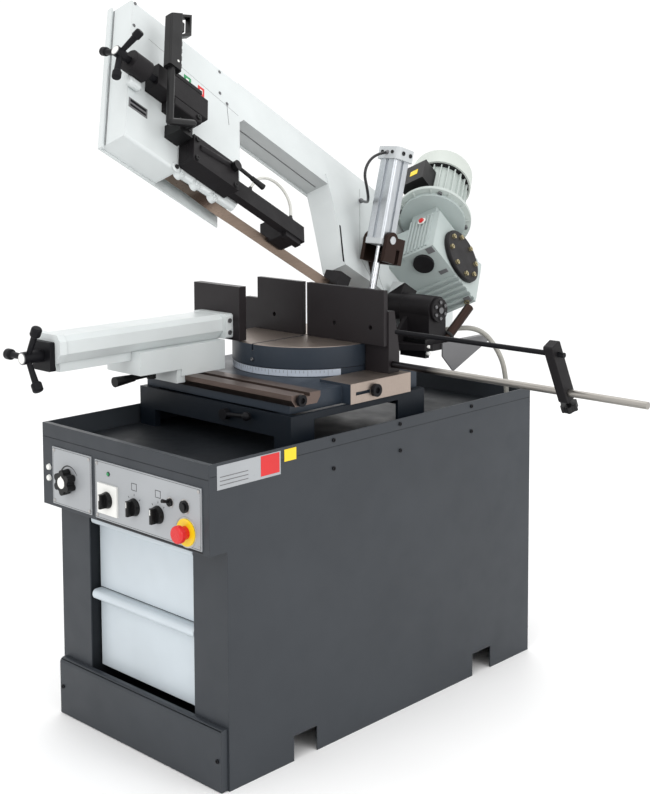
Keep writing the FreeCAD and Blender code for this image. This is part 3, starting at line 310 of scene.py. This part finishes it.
SUBFRAME = paint("subframe_paint", srgb(15, 22, 30), 0.45, worn=1.6, gloss=0.2)
SCALE_PLATE = paint("scale_plate", srgb(186, 194, 206), 0.30)
BLADE = metal("blade_steel", srgb(138, 122, 110), 0.30, stretch=(60.0, 2.0, 60.0))
SCREW_STEEL = metal("screw_steel", srgb(120, 120, 122), 0.35, stretch=(60.0, 60.0, 60.0))
GOLD = metal("passivated_bolts", srgb(190, 178, 140), 0.32, stretch=(60.0, 60.0, 60.0))
GEAR_PAINT = casting("gear_paint", srgb(172, 182, 180), 0.42)
MOTOR_PAINT = casting("motor_paint", srgb(182, 190, 186), 0.45)
COWL_PAINT = paint("cowl_paint", srgb(190, 196, 190), 0.4)
ALUMINIUM = metal("barrel_aluminium", srgb(196, 200, 204), 0.36, stretch=(60.0, 60.0, 2.0))
CAP_GREY = paint("cylinder_cap", srgb(188, 192, 194), 0.4)
CHROME = metal("rod_chrome", srgb(210, 212, 216), 0.12, stretch=(60.0, 60.0, 2.0))
CLEAR_HOSE = plastic("clear_hose", srgb(196, 196, 190), 0.25)
BLACK_HOSE = plastic("black_hose", srgb(26, 26, 28), 0.35)
CONDUIT = ribbed("conduit_plastic", srgb(168, 166, 158), 260.0, "Z")
STOP_ROD = fading_rod("scaled_rod_steel", srgb(56, 54, 56), srgb(170, 166, 160), 0.36, 0.42)

finishes = {
    "cabinet_panels": CABINET, "front_panel": CABINET, "plinth_cover": CABINET, "tray_deck": TRAY_AND_FOLD_SHADE,
    "inner_frame": TRAY_AND_FOLD_SHADE, "bed_subframe": SUBFRAME, "bed_casting": BED, "vise_rail": RAIL_STEEL,
    "rear_bracket": GREY_STEEL, "drawer_lower": DRAWER, "drawer_upper": DRAWER, "control_plates": PANEL,
    "flow_knob": BLACK_PLASTIC, "main_switch_knob": BLACK_PLASTIC, "selector_left": BLACK_PLASTIC,
    "selector_right": BLACK_PLASTIC, "toggle_lever": BLACK_PLASTIC, "push_button": BLACK_PLASTIC,
    "estop_head": RED_PLASTIC, "swivel_lock_lever": BLACK_PAINT, "jaw_right": JAW_STEEL,
    "jaw_left": JAW_STEEL, "scaled_rod": STOP_ROD, "stop_arm": BLACK_CAST, "stop_rod": BLACK_PAINT,
    "stop_knob": BLACK_PLASTIC, "vise_carriage": BOW_PAINT, "movable_jaw": JAW_STEEL,
    "vise_handwheel": BLACK_PAINT, "carriage_lever": BLACK_PLASTIC, "bow_cover": BOW_PAINT,
    "lower_blade_housing": BOW_PAINT, "saw_blade": BLADE, "tension_barrel": BLACK_CAST,
    "guide_clamp": BLACK_CAST, "rear_guide": BLACK_CAST, "pistol_handle": BLACK_PLASTIC,
    "gearbox_housing": GEAR_PAINT, "fan_cowl": COWL_PAINT, "cylinder_yoke": BROWN_BLACK,
    "drive_wheel": GEAR_PAINT, "tension_slider": BLACK_CAST, "idler_wheel": GEAR_PAINT,
    "tension_handwheel": BLACK_PAINT, "guide_arm": BLACK_CAST, "guide_lever": BLACK_PLASTIC,
    "handle_trigger": BLACK_PLASTIC, "cylinder_rod": CHROME, "base_screws": BLACK_PAINT,
}


def set_finish(obj, material):
    obj.data.materials.clear()
    obj.data.materials.append(material)


for node_name, material in finishes.items():
    set_finish(nodes[node_name], material)


# ---------------------------------------------------------------- CAD nodes with several finishes

def repaint(node_name, choose):
    """A copy of a CAD node with a material for each face, from choose(face centre, face normal)."""
    source = nodes[node_name]
    mesh = source.data.copy()
    mesh.materials.clear()
    piece = bpy.data.objects.new(node_name + "_finished", mesh)
    bpy.context.scene.collection.objects.link(piece)
    order = {}
    for face in mesh.polygons:
        material = choose(Vector(face.center), Vector(face.normal))
        if material.name not in order:
            order[material.name] = len(order)
            mesh.materials.append(material)
        face.material_index = order[material.name]
    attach(piece, source["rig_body"])
    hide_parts(node_name)
    return piece


def control_fittings_finish(centre, normal):
    """White plugs and switch plate, yellow disc under the emergency stop, black collar and bezel."""
    if centre.x < -0.2 or -0.081 < centre.x < -0.005:
        return WHITE_PLASTIC
    if centre.z < 0.6195 and centre.x > 0.2:
        return YELLOW_PLASTIC
    return BLACK_PLASTIC


def motor_finish(centre, normal):
    """Black terminal box on the painted motor."""
    local = TO_GEAR @ centre - WORM
    in_box = local.x > 0.0705 and abs(local.y) < 0.0385 and 0.1635 < local.z < 0.2545
    on_end = local.z < 0.165 or local.z > 0.2535
    if in_box and (local.x > 0.0865 or abs(local.y) > 0.0375 or on_end):
        return BLACK_PLASTIC
    return MOTOR_PAINT


def gearbox_fittings_finish(centre, normal):
    """Passivated cover bolts and corner bolt, black cover and end cap."""
    local = TO_GEAR @ centre
    reach = math.hypot(local.x, local.z)
    if local.y > 0.2182 and 0.054 < reach < 0.071:
        return GOLD
    if local.x < -0.08:
        return GOLD
    return BLACK_CAST


def bow_frame_finish(centre, normal):
    """Black pivot boss, pivot arm and tension rails, painted shade (a darker grey) on the beam's underside,
    paint elsewhere.
    """
    place = TO_BOW @ centre
    arm_side = -0.016                                    # the pivot's arm lies beyond this in X
    from_pivot = math.hypot(centre.y - PIVOT.y, centre.z - PIVOT.z)
    pivot_boss = from_pivot < 0.045 and centre.x > arm_side
    pivot_arm = centre.x > arm_side and place.x < 0.3 and 0.046 < place.y < 0.2 and place.z < 0.062
    rails = 0.82 < place.x < 0.95 and place.y > 0.0405
    if pivot_boss or pivot_arm or rails:
        return BLACK_CAST
    facing = (TO_BOW.to_3x3() @ normal).normalized()
    # Downward faces of the beam take the darker grey: painted shade on the underside.
    if facing.z < -0.9 and place.z > 0.29 and place.x < 0.66:
        return BOW_SHADE
    return BOW_PAINT


def swivel_arm_finish(centre, normal):
    """Bare buffer rod, moulded switch box, black casting elsewhere."""
    along = Vector((0.0, 0.795, 0.606))
    offset = centre - Vector((0.150, 0.392, 0.886))
    from_axis = (offset - along * offset.dot(along)).length
    if from_axis < 0.0135 and offset.dot(along) > 0.012:
        return BROWN_BLACK
    if centre.z < 0.8965 and 0.301 < centre.y < 0.321 and 0.0595 < centre.x < 0.1505:
        return BLACK_PLASTIC
    return BLACK_CAST


def bed_casting_finish(centre, normal):
    """Bare end of the block, bare top of the table, painted casting elsewhere."""
    if normal.x > 0.9 and centre.x > 0.2695 and centre.z > 0.8:
        return BLOCK_STEEL
    if normal.z > 0.9 and centre.z > 0.849:
        return TABLE_STEEL
    return BED


def turntable_finish(centre, normal):
    """Machined top on the painted disc."""
    if normal.z > 0.5 and centre.z > 0.9:
        return TABLE_STEEL
    return BED


def vise_beam_finish(centre, normal):
    """Black end block, bare screws on the flange, paint elsewhere."""
    if centre.y < -0.6925:
        return BLACK_PAINT
    if centre.x > -0.1109 and centre.y > -0.185:
        return SCREW_STEEL
    return BOW_PAINT


def barrel_finish(centre, normal):
    """Painted caps at both ends of the aluminium barrel."""
    local = TO_CYLINDER @ centre
    if local.z > 0.2215 or local.z < 0.0005:
        return CAP_GREY
    return ALUMINIUM


def panels_finish(centre, normal):
    """Black cable gland behind the painted panels."""
    if centre.y > 0.5645:
        return BLACK_PLASTIC
    return CABINET


repaint("control_fittings", control_fittings_finish)
repaint("motor_body", motor_finish)
repaint("gearbox_fittings", gearbox_fittings_finish)
repaint("bow_frame", bow_frame_finish)
repaint("swivel_arm", swivel_arm_finish)
repaint("bed_casting", bed_casting_finish)
repaint("turntable", turntable_finish)
repaint("vise_beam", vise_beam_finish)
repaint("cylinder_barrel", barrel_finish)
repaint("cabinet_panels", panels_finish)


# ---------------------------------------------------------------- mesh helpers

def piece_from(mesh_builder, name, materials, body, matrix=ROW):
    """New piece from a bmesh builder, placed by a matrix and riding on a body."""
    mesh = bpy.data.meshes.new(name)
    form = bmesh.new()
    mesh_builder(form)
    bmesh.ops.recalc_face_normals(form, faces=form.faces)
    form.to_mesh(mesh)
    form.free()
    for material in materials:
        mesh.materials.append(material)
    piece = bpy.data.objects.new(name, mesh)
    bpy.context.scene.collection.objects.link(piece)
    piece.matrix_world = matrix
    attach(piece, body)
    return piece


def add_block(form, low, high, bevel, index=0):
    """Bevelled box between two corners; index picks the piece's material, here and below."""
    low, high = Vector(low), Vector(high)
    made = bmesh.ops.create_cube(form, size=1.0)["verts"]
    size = high - low
    for vertex in made:
        vertex.co = Vector([low[i] + (vertex.co[i] + 0.5) * size[i] for i in range(3)])
    faces = {face for vertex in made for face in vertex.link_faces}
    edges = {edge for vertex in made for edge in vertex.link_edges}
    for face in faces:
        face.material_index = index
    if bevel > 0:
        bmesh.ops.bevel(form, geom=list(edges), offset=bevel, segments=2, affect="EDGES", profile=0.5,
                        material=index)


def add_turned(form, profile, base, axis, steps=32, index=0):
    """Solid of revolution: profile is (radius, height) pairs from the base along the axis."""
    turn = Vector((0, 0, 1)).rotation_difference(Vector(axis).normalized()).to_matrix()
    base = Vector(base)
    rings = []
    for radius, height in profile:
        ring = []
        for step in range(steps):
            angle = 2 * math.pi * step / steps
            local = Vector((radius * math.cos(angle), radius * math.sin(angle), height))
            ring.append(form.verts.new(base + turn @ local))
        rings.append(ring)
    made = []
    for lower, upper in zip(rings, rings[1:]):
        for step in range(steps):
            after = (step + 1) % steps
            made.append(form.faces.new((lower[step], lower[after], upper[after], upper[step])))
    made.append(form.faces.new(list(reversed(rings[0]))))
    made.append(form.faces.new(rings[-1]))
    for face in made:
        face.material_index = index
        face.smooth = True
    made[-1].smooth = False
    made[-2].smooth = False


# ---------------------------------------------------------------- hoses

def hose(name, points, radius, material, body, node_name):
    """NURBS hose through its control points, in place of its plain CAD tube."""
    curve = bpy.data.curves.new(name, "CURVE")
    curve.dimensions = "3D"
    curve.bevel_depth = radius
    curve.bevel_resolution = 6
    curve.use_fill_caps = True
    curve.resolution_u = 24
    spline = curve.splines.new("NURBS")
    spline.points.add(len(points) - 1)
    for control, place in zip(spline.points, points):
        control.co = (*place, 1.0)
    spline.order_u = 3
    spline.use_endpoint_u = True
    curve.materials.append(material)
    piece = bpy.data.objects.new(name, curve)
    bpy.context.scene.collection.objects.link(piece)
    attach(piece, body)
    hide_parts(node_name)
    return piece


HYDRAULIC_ROUTE = [(0.008, 0.3085, 1.3999), (0.008, 0.256, 1.398), (0.008, 0.212, 1.353),
                   (0.008, 0.229, 1.297), (-0.032, 0.276, 1.264), (-0.092, 0.330, 1.258),
                   (-0.1498, 0.374, 1.258)]
CONDUIT_ROUTE = [(0.110, 0.3924, 0.903), (0.114, 0.452, 0.906), (0.178, 0.512, 0.908),
                 (0.230, 0.532, 0.842), (0.252, 0.534, 0.774), (0.254, 0.534, 0.7006)]
COOLANT_ROUTE_IN_BOW = [(0.640, 0.058, 0.062), (0.618, 0.058, 0.112), (0.560, 0.058, 0.150),
                        (0.500, 0.058, 0.148), (0.466, 0.058, 0.104), (0.476, 0.058, 0.062)]
COOLANT_ROUTE = [tuple(BOW @ Vector(place)) for place in COOLANT_ROUTE_IN_BOW]
HOSE_RADIUS = 0.004
CONDUIT_RADIUS = 0.007

hose("hydraulic_hose_line", HYDRAULIC_ROUTE, HOSE_RADIUS, BLACK_HOSE, "bow", "hydraulic_hose")
hose("cable_conduit_line", CONDUIT_ROUTE, CONDUIT_RADIUS, CONDUIT, "swivel_table", "cable_conduit")
hose("coolant_hose_line", COOLANT_ROUTE, HOSE_RADIUS, CLEAR_HOSE, "front_guide", "coolant_hose")


# ---------------------------------------------------------------- small details, in millimetres

def add_strip(form, start, end, normal, width, height, index=0):
    """Thin raised strip between two points of a surface with the given normal."""
    start, end, normal = Vector(start), Vector(end), Vector(normal).normalized()
    side = normal.cross((end - start).normalized()) * (width / 2)
    rise = normal * height
    corners = [start - side, start + side, end + side, end - side]
    low = [form.verts.new(corner - normal * 0.2 * MM) for corner in corners]
    high = [form.verts.new(corner + rise) for corner in corners]
    faces = [form.faces.new(high), form.faces.new(list(reversed(low)))]
    for i in range(4):
        after = (i + 1) % 4
        faces.append(form.faces.new((low[i], low[after], high[after], high[i])))
    for face in faces:
        face.material_index = index


def detail(name, materials, body, slot, matrix=ROW, blocks=(), turned=(), strips=()):
    """One new piece from tables of blocks, turned forms and strips, all in millimetres."""
    def build(form):
        for low, high, bevel, index in blocks:
            add_block(form, Vector(low) * MM, Vector(high) * MM, bevel * MM, index)
        for profile, base, axis, index in turned:
            add_turned(form, [(r * MM, h * MM) for r, h in profile], Vector(base) * MM, axis, 28, index)
        for start, end, normal, width, height, index in strips:
            add_strip(form, Vector(start) * MM, Vector(end) * MM, normal, width * MM, height * MM, index)
    return piece_from(build, name, materials, body, matrix)


def recessed(radius, height):
    """Profile of a screw head with a socket."""
    return [(radius, 0), (radius, height * 0.75), (radius * 0.85, height), (radius * 0.45, height),
            (radius * 0.42, height * 0.4)]


def disc(radius, height):
    """Profile of a low disc with a softened rim."""
    return [(radius, 0), (radius, height * 0.7), (radius * 0.94, height)]


def polar(radius, degrees):
    """Offsets along the first and the second axis of a plane."""
    angle = math.radians(degrees)
    return radius * math.cos(angle), radius * math.sin(angle)


def arc_points(centre, radius, start, end, count):
    """Points on an arc in the XZ plane, angles in degrees from +X towards +Z."""
    points = []
    for step in range(count + 1):
        along, up = polar(radius, start + (end - start) * step / count)
        points.append((centre[0] + along, centre[1], centre[2] + up))
    return points


def closed(points):
    """Pairs of neighbouring points round a closed outline."""
    return list(zip(points, points[1:] + points[:1]))


def rectangle(x0, x1, y, z0, z1):
    """Corners of an upright rectangle in the XZ plane."""
    return [(x0, y, z0), (x1, y, z0), (x1, y, z1), (x0, y, z1)]


OPERATOR = (0, -1, 0)
RIGHT = (1, 0, 0)
UPWARD = (0, 0, 1)
BOW_OUT = (0, 1, 0)                                      # out of the bow's face, in the bow frame
BOW_FACE = 40                                            # the head's face, along BOW_OUT
LEG_FACE = 43                                            # the drive leg's face, along BOW_OUT
HOUSING_FRONT = -615                                     # the control housing's face, along Y
PLATE_FRONT = -618                                       # the face of the two control plates, along Y
SIDE = 311                                               # the cabinet's right side, along X


def head_details():
    """Screws, fairing lobes, vents, coloured marks and seams of the head, and marks on the drive leg; the
    black vent slits and the black slot on the leg are painted shade.
    """
    face, out = BOW_FACE, BOW_OUT
    face_screws = [(1051, face, 410), (1051, face, 337), (736, face, 402), (734, face, 331),
                   (706, face, 313)]
    block_screws = [(900, 90, 79), (868, 88, 70), (868, 88, 14), (728, 88, 14), (862, 84, 145)]
    lobe, lobe_screw = (890, face, -3), (890, face + 3, -3)
    detail("head_screws", [SCREW_STEEL, BLACK_PLASTIC], "bow", "dark_steel", BOW,
           turned=[(recessed(4.5, 2), place, out, 0) for place in face_screws]
           + [(recessed(6, 4), lobe_screw, out, 1)]
           + [(recessed(7, 4), place, out, 1) for place in block_screws])
    detail("fairing_ears", [BOW_PAINT], "bow", "bow_paint", BOW,
           turned=[([(13, 0), (13, 2), (11, 3)], lobe, out, 0)],
           blocks=[((1030, face, 132), (1074, 60, 157), 8, 0), ((842, face, 84), (882, 54, 126), 8, 0)])
    # The black slits stand for the vents' openings: painted shade inside the slots, on a grey plate.
    vents = [((997, 40.4, low), (1049, 41.6, high), 0.4, 0) for low, high in ((97, 104), (85, 91))]
    detail("head_vents", [BLACK_PAINT, GREY_STEEL], "bow", "black_paint", BOW,
           blocks=[((992, face, 80), (1054, 40.8, 108), 0.3, 1)] + vents)
    detail("direction_marks", [GREEN_PLASTIC, RED_PLASTIC, WHITE_PLASTIC], "bow", "panel_grey", BOW,
           blocks=[((844, face, 276), (870, 40.7, 304), 0.2, 0), ((794, face, 273), (818, 40.7, 303), 0.2, 1),
                   ((852, 40.5, 284), (862, 41.0, 296), 0.2, 2),
                   ((801, 40.5, 282), (811, 41.0, 294), 0.2, 2)])
    detail("head_seams", [GREY_STEEL], "bow", "dark_steel", BOW,
           strips=[((706, face, 308), (698, face, 248), out, 1.6, 0.3, 0),
                   ((660, face, 302), (1000, face, 330), out, 0.8, 0.2, 0),
                   ((285, 4, 302), (640, 4, 302), (0, 0, -1), 3, 0.6, 0),
                   ((1060, -22, -8), (1060, -22, 416), RIGHT, 2.2, 0.3, 0)])
    leg = LEG_FACE
    # The black strip on the leg stands for a slot: painted shade inside it; the grey lines are marks on the
    # leg.
    detail("leg_marks", [BOW_SHADE, BLACK_PAINT], "bow", "bow_paint", BOW,
           strips=[((123, leg, 369), (145, leg, 123), out, 3, 0.6, 0),
                   ((145, leg, 123), (96, leg, 79), out, 3, 0.6, 0),
                   ((232, leg, 182), (224, leg, 66), out, 6, 0.8, 1)])


def clamp_and_grip():
    """Clamp bar of the guide, waves on the handle's grip, and the hub caps of the two handwheels."""
    detail("clamp_bar", [BLACK_CAST], "bow", "black_paint", BOW,
           turned=[([(6, 0), (9, 3), (9, 104), (6, 107)], (858, 86, 52), (-1, 0, 0.1), 0)])
    wave_pitch = 24
    waves = [((961, 103, 210 + wave_pitch * i), (972, 121, 231 + wave_pitch * i), 5, 0) for i in range(4)]
    detail("grip_waves", [BLACK_PLASTIC, WHITE_PLASTIC], "bow", "black_plastic", BOW, blocks=waves,
           turned=[(recessed(3.5, 1.2), (980, 124, 222), BOW_OUT, 1)])
    tension_hub, vise_hub = (1136, 72, 177), (-175, -759, 943)
    detail("tension_cap", [WHITE_PLASTIC, GREY_STEEL], "tension_screw", "panel_grey", BOW,
           turned=[(disc(12.6, 1.2), tension_hub, RIGHT, 1), (disc(10.5, 2.2), tension_hub, RIGHT, 0)])
    detail("vise_cap", [WHITE_PLASTIC, GREY_STEEL], "vise_screw", "panel_grey",
           turned=[(disc(14.6, 1.2), vise_hub, OPERATOR, 1), (disc(12, 2.2), vise_hub, OPERATOR, 0)])


def drive_details():
    """Motor flange, seam and terminal box, gearbox plug, cylinder ports, pivot bolts, buffer and glands."""
    motor = GEAR @ Matrix.Translation(WORM)
    flange_back = 126                                    # along the motor's axis
    bolts = [(recessed(7, 6), (*polar(98, 45 + 90 * i), flange_back), (0, 0, -1), 1) for i in range(4)]
    ribs = [((*polar(60, degrees), flange_back), (*polar(108, degrees), flange_back), (0, 0, -1), 5, 5, 0)
            for degrees in range(0, 360, 30)]
    detail("motor_flange_ribs", [MOTOR_PAINT, SCREW_STEEL], "bow", "motor_paint", motor, turned=bolts,
           strips=ribs)
    detail("motor_seam", [BLACK_PLASTIC], "bow", "black_plastic", motor,
           turned=[([(88, 0), (88, 3.4)], (0, 0, 290.3), UPWARD, 0)])
    detail("terminal_plate", [YELLOW_PLASTIC, BLACK_PLASTIC], "bow", "black_plastic", motor,
           blocks=[((123.9, -12, 196), (124.7, 14, 220), 0.3, 0), ((84, -50, 170), (108, -37.5, 194), 3, 1),
                   ((80, -49, 208), (104, -37.5, 230), 3, 1)])
    plug = (126, 148, 58)
    detail("gear_plug", [WHITE_PLASTIC, RED_PLASTIC, GREY_STEEL], "bow", "red_plastic", GEAR,
           turned=[(disc(13, 3), plug, RIGHT, 0), (disc(8, 8), plug, RIGHT, 1)],
           blocks=[((22, 166, -84), (34, 192, -81.5), 0.5, 2), ((100, 176, -84), (120, 198, -81.5), 0.5, 2),
                   ((-96, 178, -91), (-76, 198, -87.5), 0.5, 2)])
    ports = [(recessed(6, 3), (40, y, 240), RIGHT, 0) for y in (-15, 15)]
    ports += [(recessed(5, 3), (x, -36, 240), OPERATOR, 0) for x in (-18, 18)]
    detail("cylinder_ports", [BLACK_PLASTIC], "lift_cylinder", "black_plastic", CYLINDER, turned=ports)
    pivot_end, pivot_y, pivot_z = 160.3, 355, 971
    pivot_bolts = []
    for i in range(6):
        back, up = polar(22, 30 + 60 * i)
        pivot_bolts.append((recessed(5, 4), (pivot_end, pivot_y + back, pivot_z + up), RIGHT, 0))
    pivot_bolts.append((disc(9, 5), (pivot_end, pivot_y, pivot_z), RIGHT, 0))
    detail("pivot_bolts", [SCREW_STEEL], "bow", "screw_steel", turned=pivot_bolts)
    detail("buffer_ring", [BLACK_PLASTIC], "swivel_table", "black_plastic",
           turned=[([(15.5, 0), (15.5, 9)], (150, 399, 891.3), (0, 84, 64), 0)])
    detail("switch_glands", [WHITE_PLASTIC], "swivel_table", "panel_grey",
           turned=[([(6, 0), (6, 5), (4, 10)], (150, 312, z), RIGHT, 0) for z in (857, 876)])


def hose_fittings():
    """Barbed fittings at the hoses' ends, and the gland that the conduit enters."""
    barb = [(7, 0), (7, 5), (5, 6), (5, 12), (4.6, 14)]
    detail("cylinder_fitting", [SCREW_STEEL], "lift_cylinder", "screw_steel",
           turned=[(barb, (8, 316, 1400), OPERATOR, 0)])
    detail("housing_fitting", [SCREW_STEEL], "bow", "screw_steel",
           turned=[(barb, (-149.8, 374, 1258), (57.8, -44, 0), 0)])
    detail("coolant_fittings", [BLACK_PLASTIC], "front_guide", "black_plastic", BOW,
           turned=[(barb, (476, 58, 60), (-0.2, 0, 1), 0), (barb, (640, 58, 60), (-0.3, 0, 1), 0)])
    detail("conduit_gland", [BLACK_PLASTIC], "cabinet", "black_plastic",
           turned=[([(13, 0), (13, 8), (10, 16)], (254, 534, 700), UPWARD, 0)])


def selector_marks(x, z):
    """Three ticks round a selector, and the outline of its label above."""
    reach, tick, face, out = 26, 5, PLATE_FRONT, OPERATOR
    marks = []
    for degrees in (45, 90, 135):
        near, far = polar(reach, degrees), polar(reach + tick, degrees)
        marks.append(((x + near[0], face, z + near[1]), (x + far[0], face, z + far[1]), out, 1.4, 0.3, 0))
    label = rectangle(x - 9, x + 9, face, 647, 663)
    return marks + [(a, b, out, 1.2, 0.3, 0) for a, b in closed(label)]


def plate_details():
    """Printed marks, lamp, rings and corner screws of the two control plates."""
    out, face = OPERATOR, PLATE_FRONT
    marks = selector_marks(54, 608) + selector_marks(140, 608)
    sweep = arc_points((-199, face, 622), 37, 30, 150, 12)
    marks += [(a, b, out, 1.2 + 0.25 * i, 0.3, 0) for i, (a, b) in enumerate(zip(sweep, sweep[1:]))]
    marks.append(((-94, HOUSING_FRONT, 551), (288, HOUSING_FRONT, 551), out, 3, 0.4, 0))
    inset = 3
    for x0, x1, z0, z1 in ((-94, 288, 555, 695), (-267, -110, 556, 697)):
        border = rectangle(x0 + inset, x1 - inset, face, z0 + inset, z1 - inset)
        marks += [(a, b, out, 0.8, 0.2, 0) for a, b in closed(border)]
    lamp = [(disc(5.5, 1.5), (-42, face, 668), out, 0), (disc(4, 3), (-42, face, 668), out, 2)]
    rings = [(disc(12, 0.9), (183, face, 645), out, 1), (disc(17, 0.9), (233, face, 645), out, 1),
             (disc(35, 0.9), (237, face, 588), out, 1)]
    corners = [(x, face, z) for x in (-86, 280) for z in (563, 687)]
    corners += [(x, face, z) for x in (-259, -118) for z in (564, 689)]
    detail("panel_marks", [BLACK_PLASTIC, MACHINED, GREEN_PLASTIC], "cabinet", "panel_grey", strips=marks,
           turned=lamp + rings + [(recessed(4, 1.6), place, out, 1) for place in corners])


def knob_pointers():
    """White pointers on the rotary knobs."""
    for x, z, front, body in ((-42, 607, -647, "main_switch"), (54, 608, -642, "left_selector"),
                              (140, 608, -642, "right_selector")):
        detail(body + "_pointer", [WHITE_PLASTIC], body, "panel_grey",
               strips=[((x, front, z + 3), (x, front, z + 16), OPERATOR, 2.2, 0.4, 0)])
    detail("flow_pointer", [WHITE_PLASTIC], "flow_dial", "panel_grey",
           turned=[(disc(2.6, 0.6), (-199, -642, 636), OPERATOR, 0),
                   (disc(14, 0.8), (-199, -642, 622), OPERATOR, 0)])


def cabinet_details():
    """Dark lines along the cabinet's rim folds, painted shade where the sheet bends, and blank plates on its
    right side.
    """
    # Near-black strips along the folds: painted shade where the rim bends.
    detail("rim_fold_painted_shade", [TRAY_AND_FOLD_SHADE], "cabinet", "black_paint",
           strips=[((-308, HOUSING_FRONT, 716), (308, HOUSING_FRONT, 716), OPERATOR, 1.6, 0.3, 0),
                   ((SIDE, -612, 722), (SIDE, 560, 722), RIGHT, 1.2, 0.2, 0)])
    plates = [((SIDE, -592, 690), (311.6, -400, 744), 0.1, 0),
              ((311.4, -462, 696), (312.0, -404, 742), 0.1, 1),
              ((SIDE, -388, 716), (311.6, -350, 744), 0.1, 2)]
    rules = [((311.6, -584, z), (311.6, -500, z), RIGHT, 2, 0.2, 3) for z in (700, 709, 718)]
    detail("side_plates", [PANEL, RED_PLASTIC, YELLOW_PLASTIC, GREY_STEEL], "cabinet", "panel_grey",
           blocks=plates, strips=rules)


BOSS_AXIS = (-38, 40)                                    # the turntable's axis, in X and Y


def on_boss(degrees, z, radius=198.0):
    """Point on the round boss under the turntable."""
    along, across = polar(radius, degrees)
    return (BOSS_AXIS[0] + along, BOSS_AXIS[1] + across, z)


def bed_details():
    """Angle scale round the boss, and the screw of its pointer."""
    band, ticks = [], []
    band_step, tick_step, long_tick_step = 5, 3, 15
    for degrees in range(190, 336, band_step):
        outward = (*polar(1, degrees + band_step / 2), 0)
        band.append((on_boss(degrees, 853), on_boss(degrees + band_step, 853), outward, 17, 0.8, 0))
    for degrees in range(192, 336, tick_step):
        outward = (*polar(1, degrees), 0)
        low = 846 if degrees % long_tick_step == 0 else 853
        ticks.append((on_boss(degrees, low, 198.6), on_boss(degrees, 860, 198.6), outward, 0.8, 0.5, 1))
    detail("angle_scale", [SCALE_PLATE, GREY_STEEL], "cabinet", "machined_steel", strips=band + ticks)
    detail("angle_pointer", [SCREW_STEEL], "swivel_table", "screw_steel",
           turned=[(recessed(5, 3), (-38, -160.2, 880), OPERATOR, 0)])


head_details()
clamp_and_grip()
drive_details()
hose_fittings()
plate_details()
knob_pointers()
cabinet_details()
bed_details()


# ---------------------------------------------------------------- stage and lights

def stage():
    """Pale floor that catches the shadows."""
    bpy.ops.mesh.primitive_plane_add(size=30, location=(0, 0, 0))
    floor = bpy.context.object
    floor.name = "floor"
    surface = Surface("floor_pale")
    duller, brighter = (0.955, 0.955, 0.955, 1), (0.975, 0.975, 0.975, 1)
    tone = surface.ramp(surface.noise(0.8), [(0.3, duller), (0.7, brighter)])
    rough = surface.span(surface.noise(3.0), 0.3, 0.7, 0.6, 0.8)
    floor.data.materials.append(surface.finish(tone, rough, surface.bump(surface.noise(200.0), 0.1, 0.0002)))


def area_light(name, place, target, size, power):
    """Square white light aimed at a point."""
    data = bpy.data.lights.new(name, "AREA")
    data.size = size
    data.energy = power
    light = bpy.data.objects.new(name, data)
    bpy.context.scene.collection.objects.link(light)
    light.location = place
    light.rotation_euler = (Vector(target) - Vector(place)).to_track_quat("-Z", "Y").to_euler()


def lights():
    """White studio world with four soft lights."""
    world = bpy.data.worlds.new("studio")
    world.use_nodes = True
    world.node_tree.nodes["Background"].inputs["Color"].default_value = (1.0, 1.0, 1.0, 1)
    world.node_tree.nodes["Background"].inputs["Strength"].default_value = 1.08
    bpy.context.scene.world = world
    target = (0, 0, 1.0)
    area_light("key", (1.2, -3.6, 3.6), target, 2.2, 34)
    area_light("side", (4.2, 0.2, 2.6), target, 2.4, 44)
    area_light("top", (-0.4, 0.2, 4.4), target, 3.0, 26)
    area_light("rear", (-2.6, 3.0, 2.8), target, 2.4, 16)
    bpy.context.scene.view_settings.view_transform = "Standard"


stage()
lights()
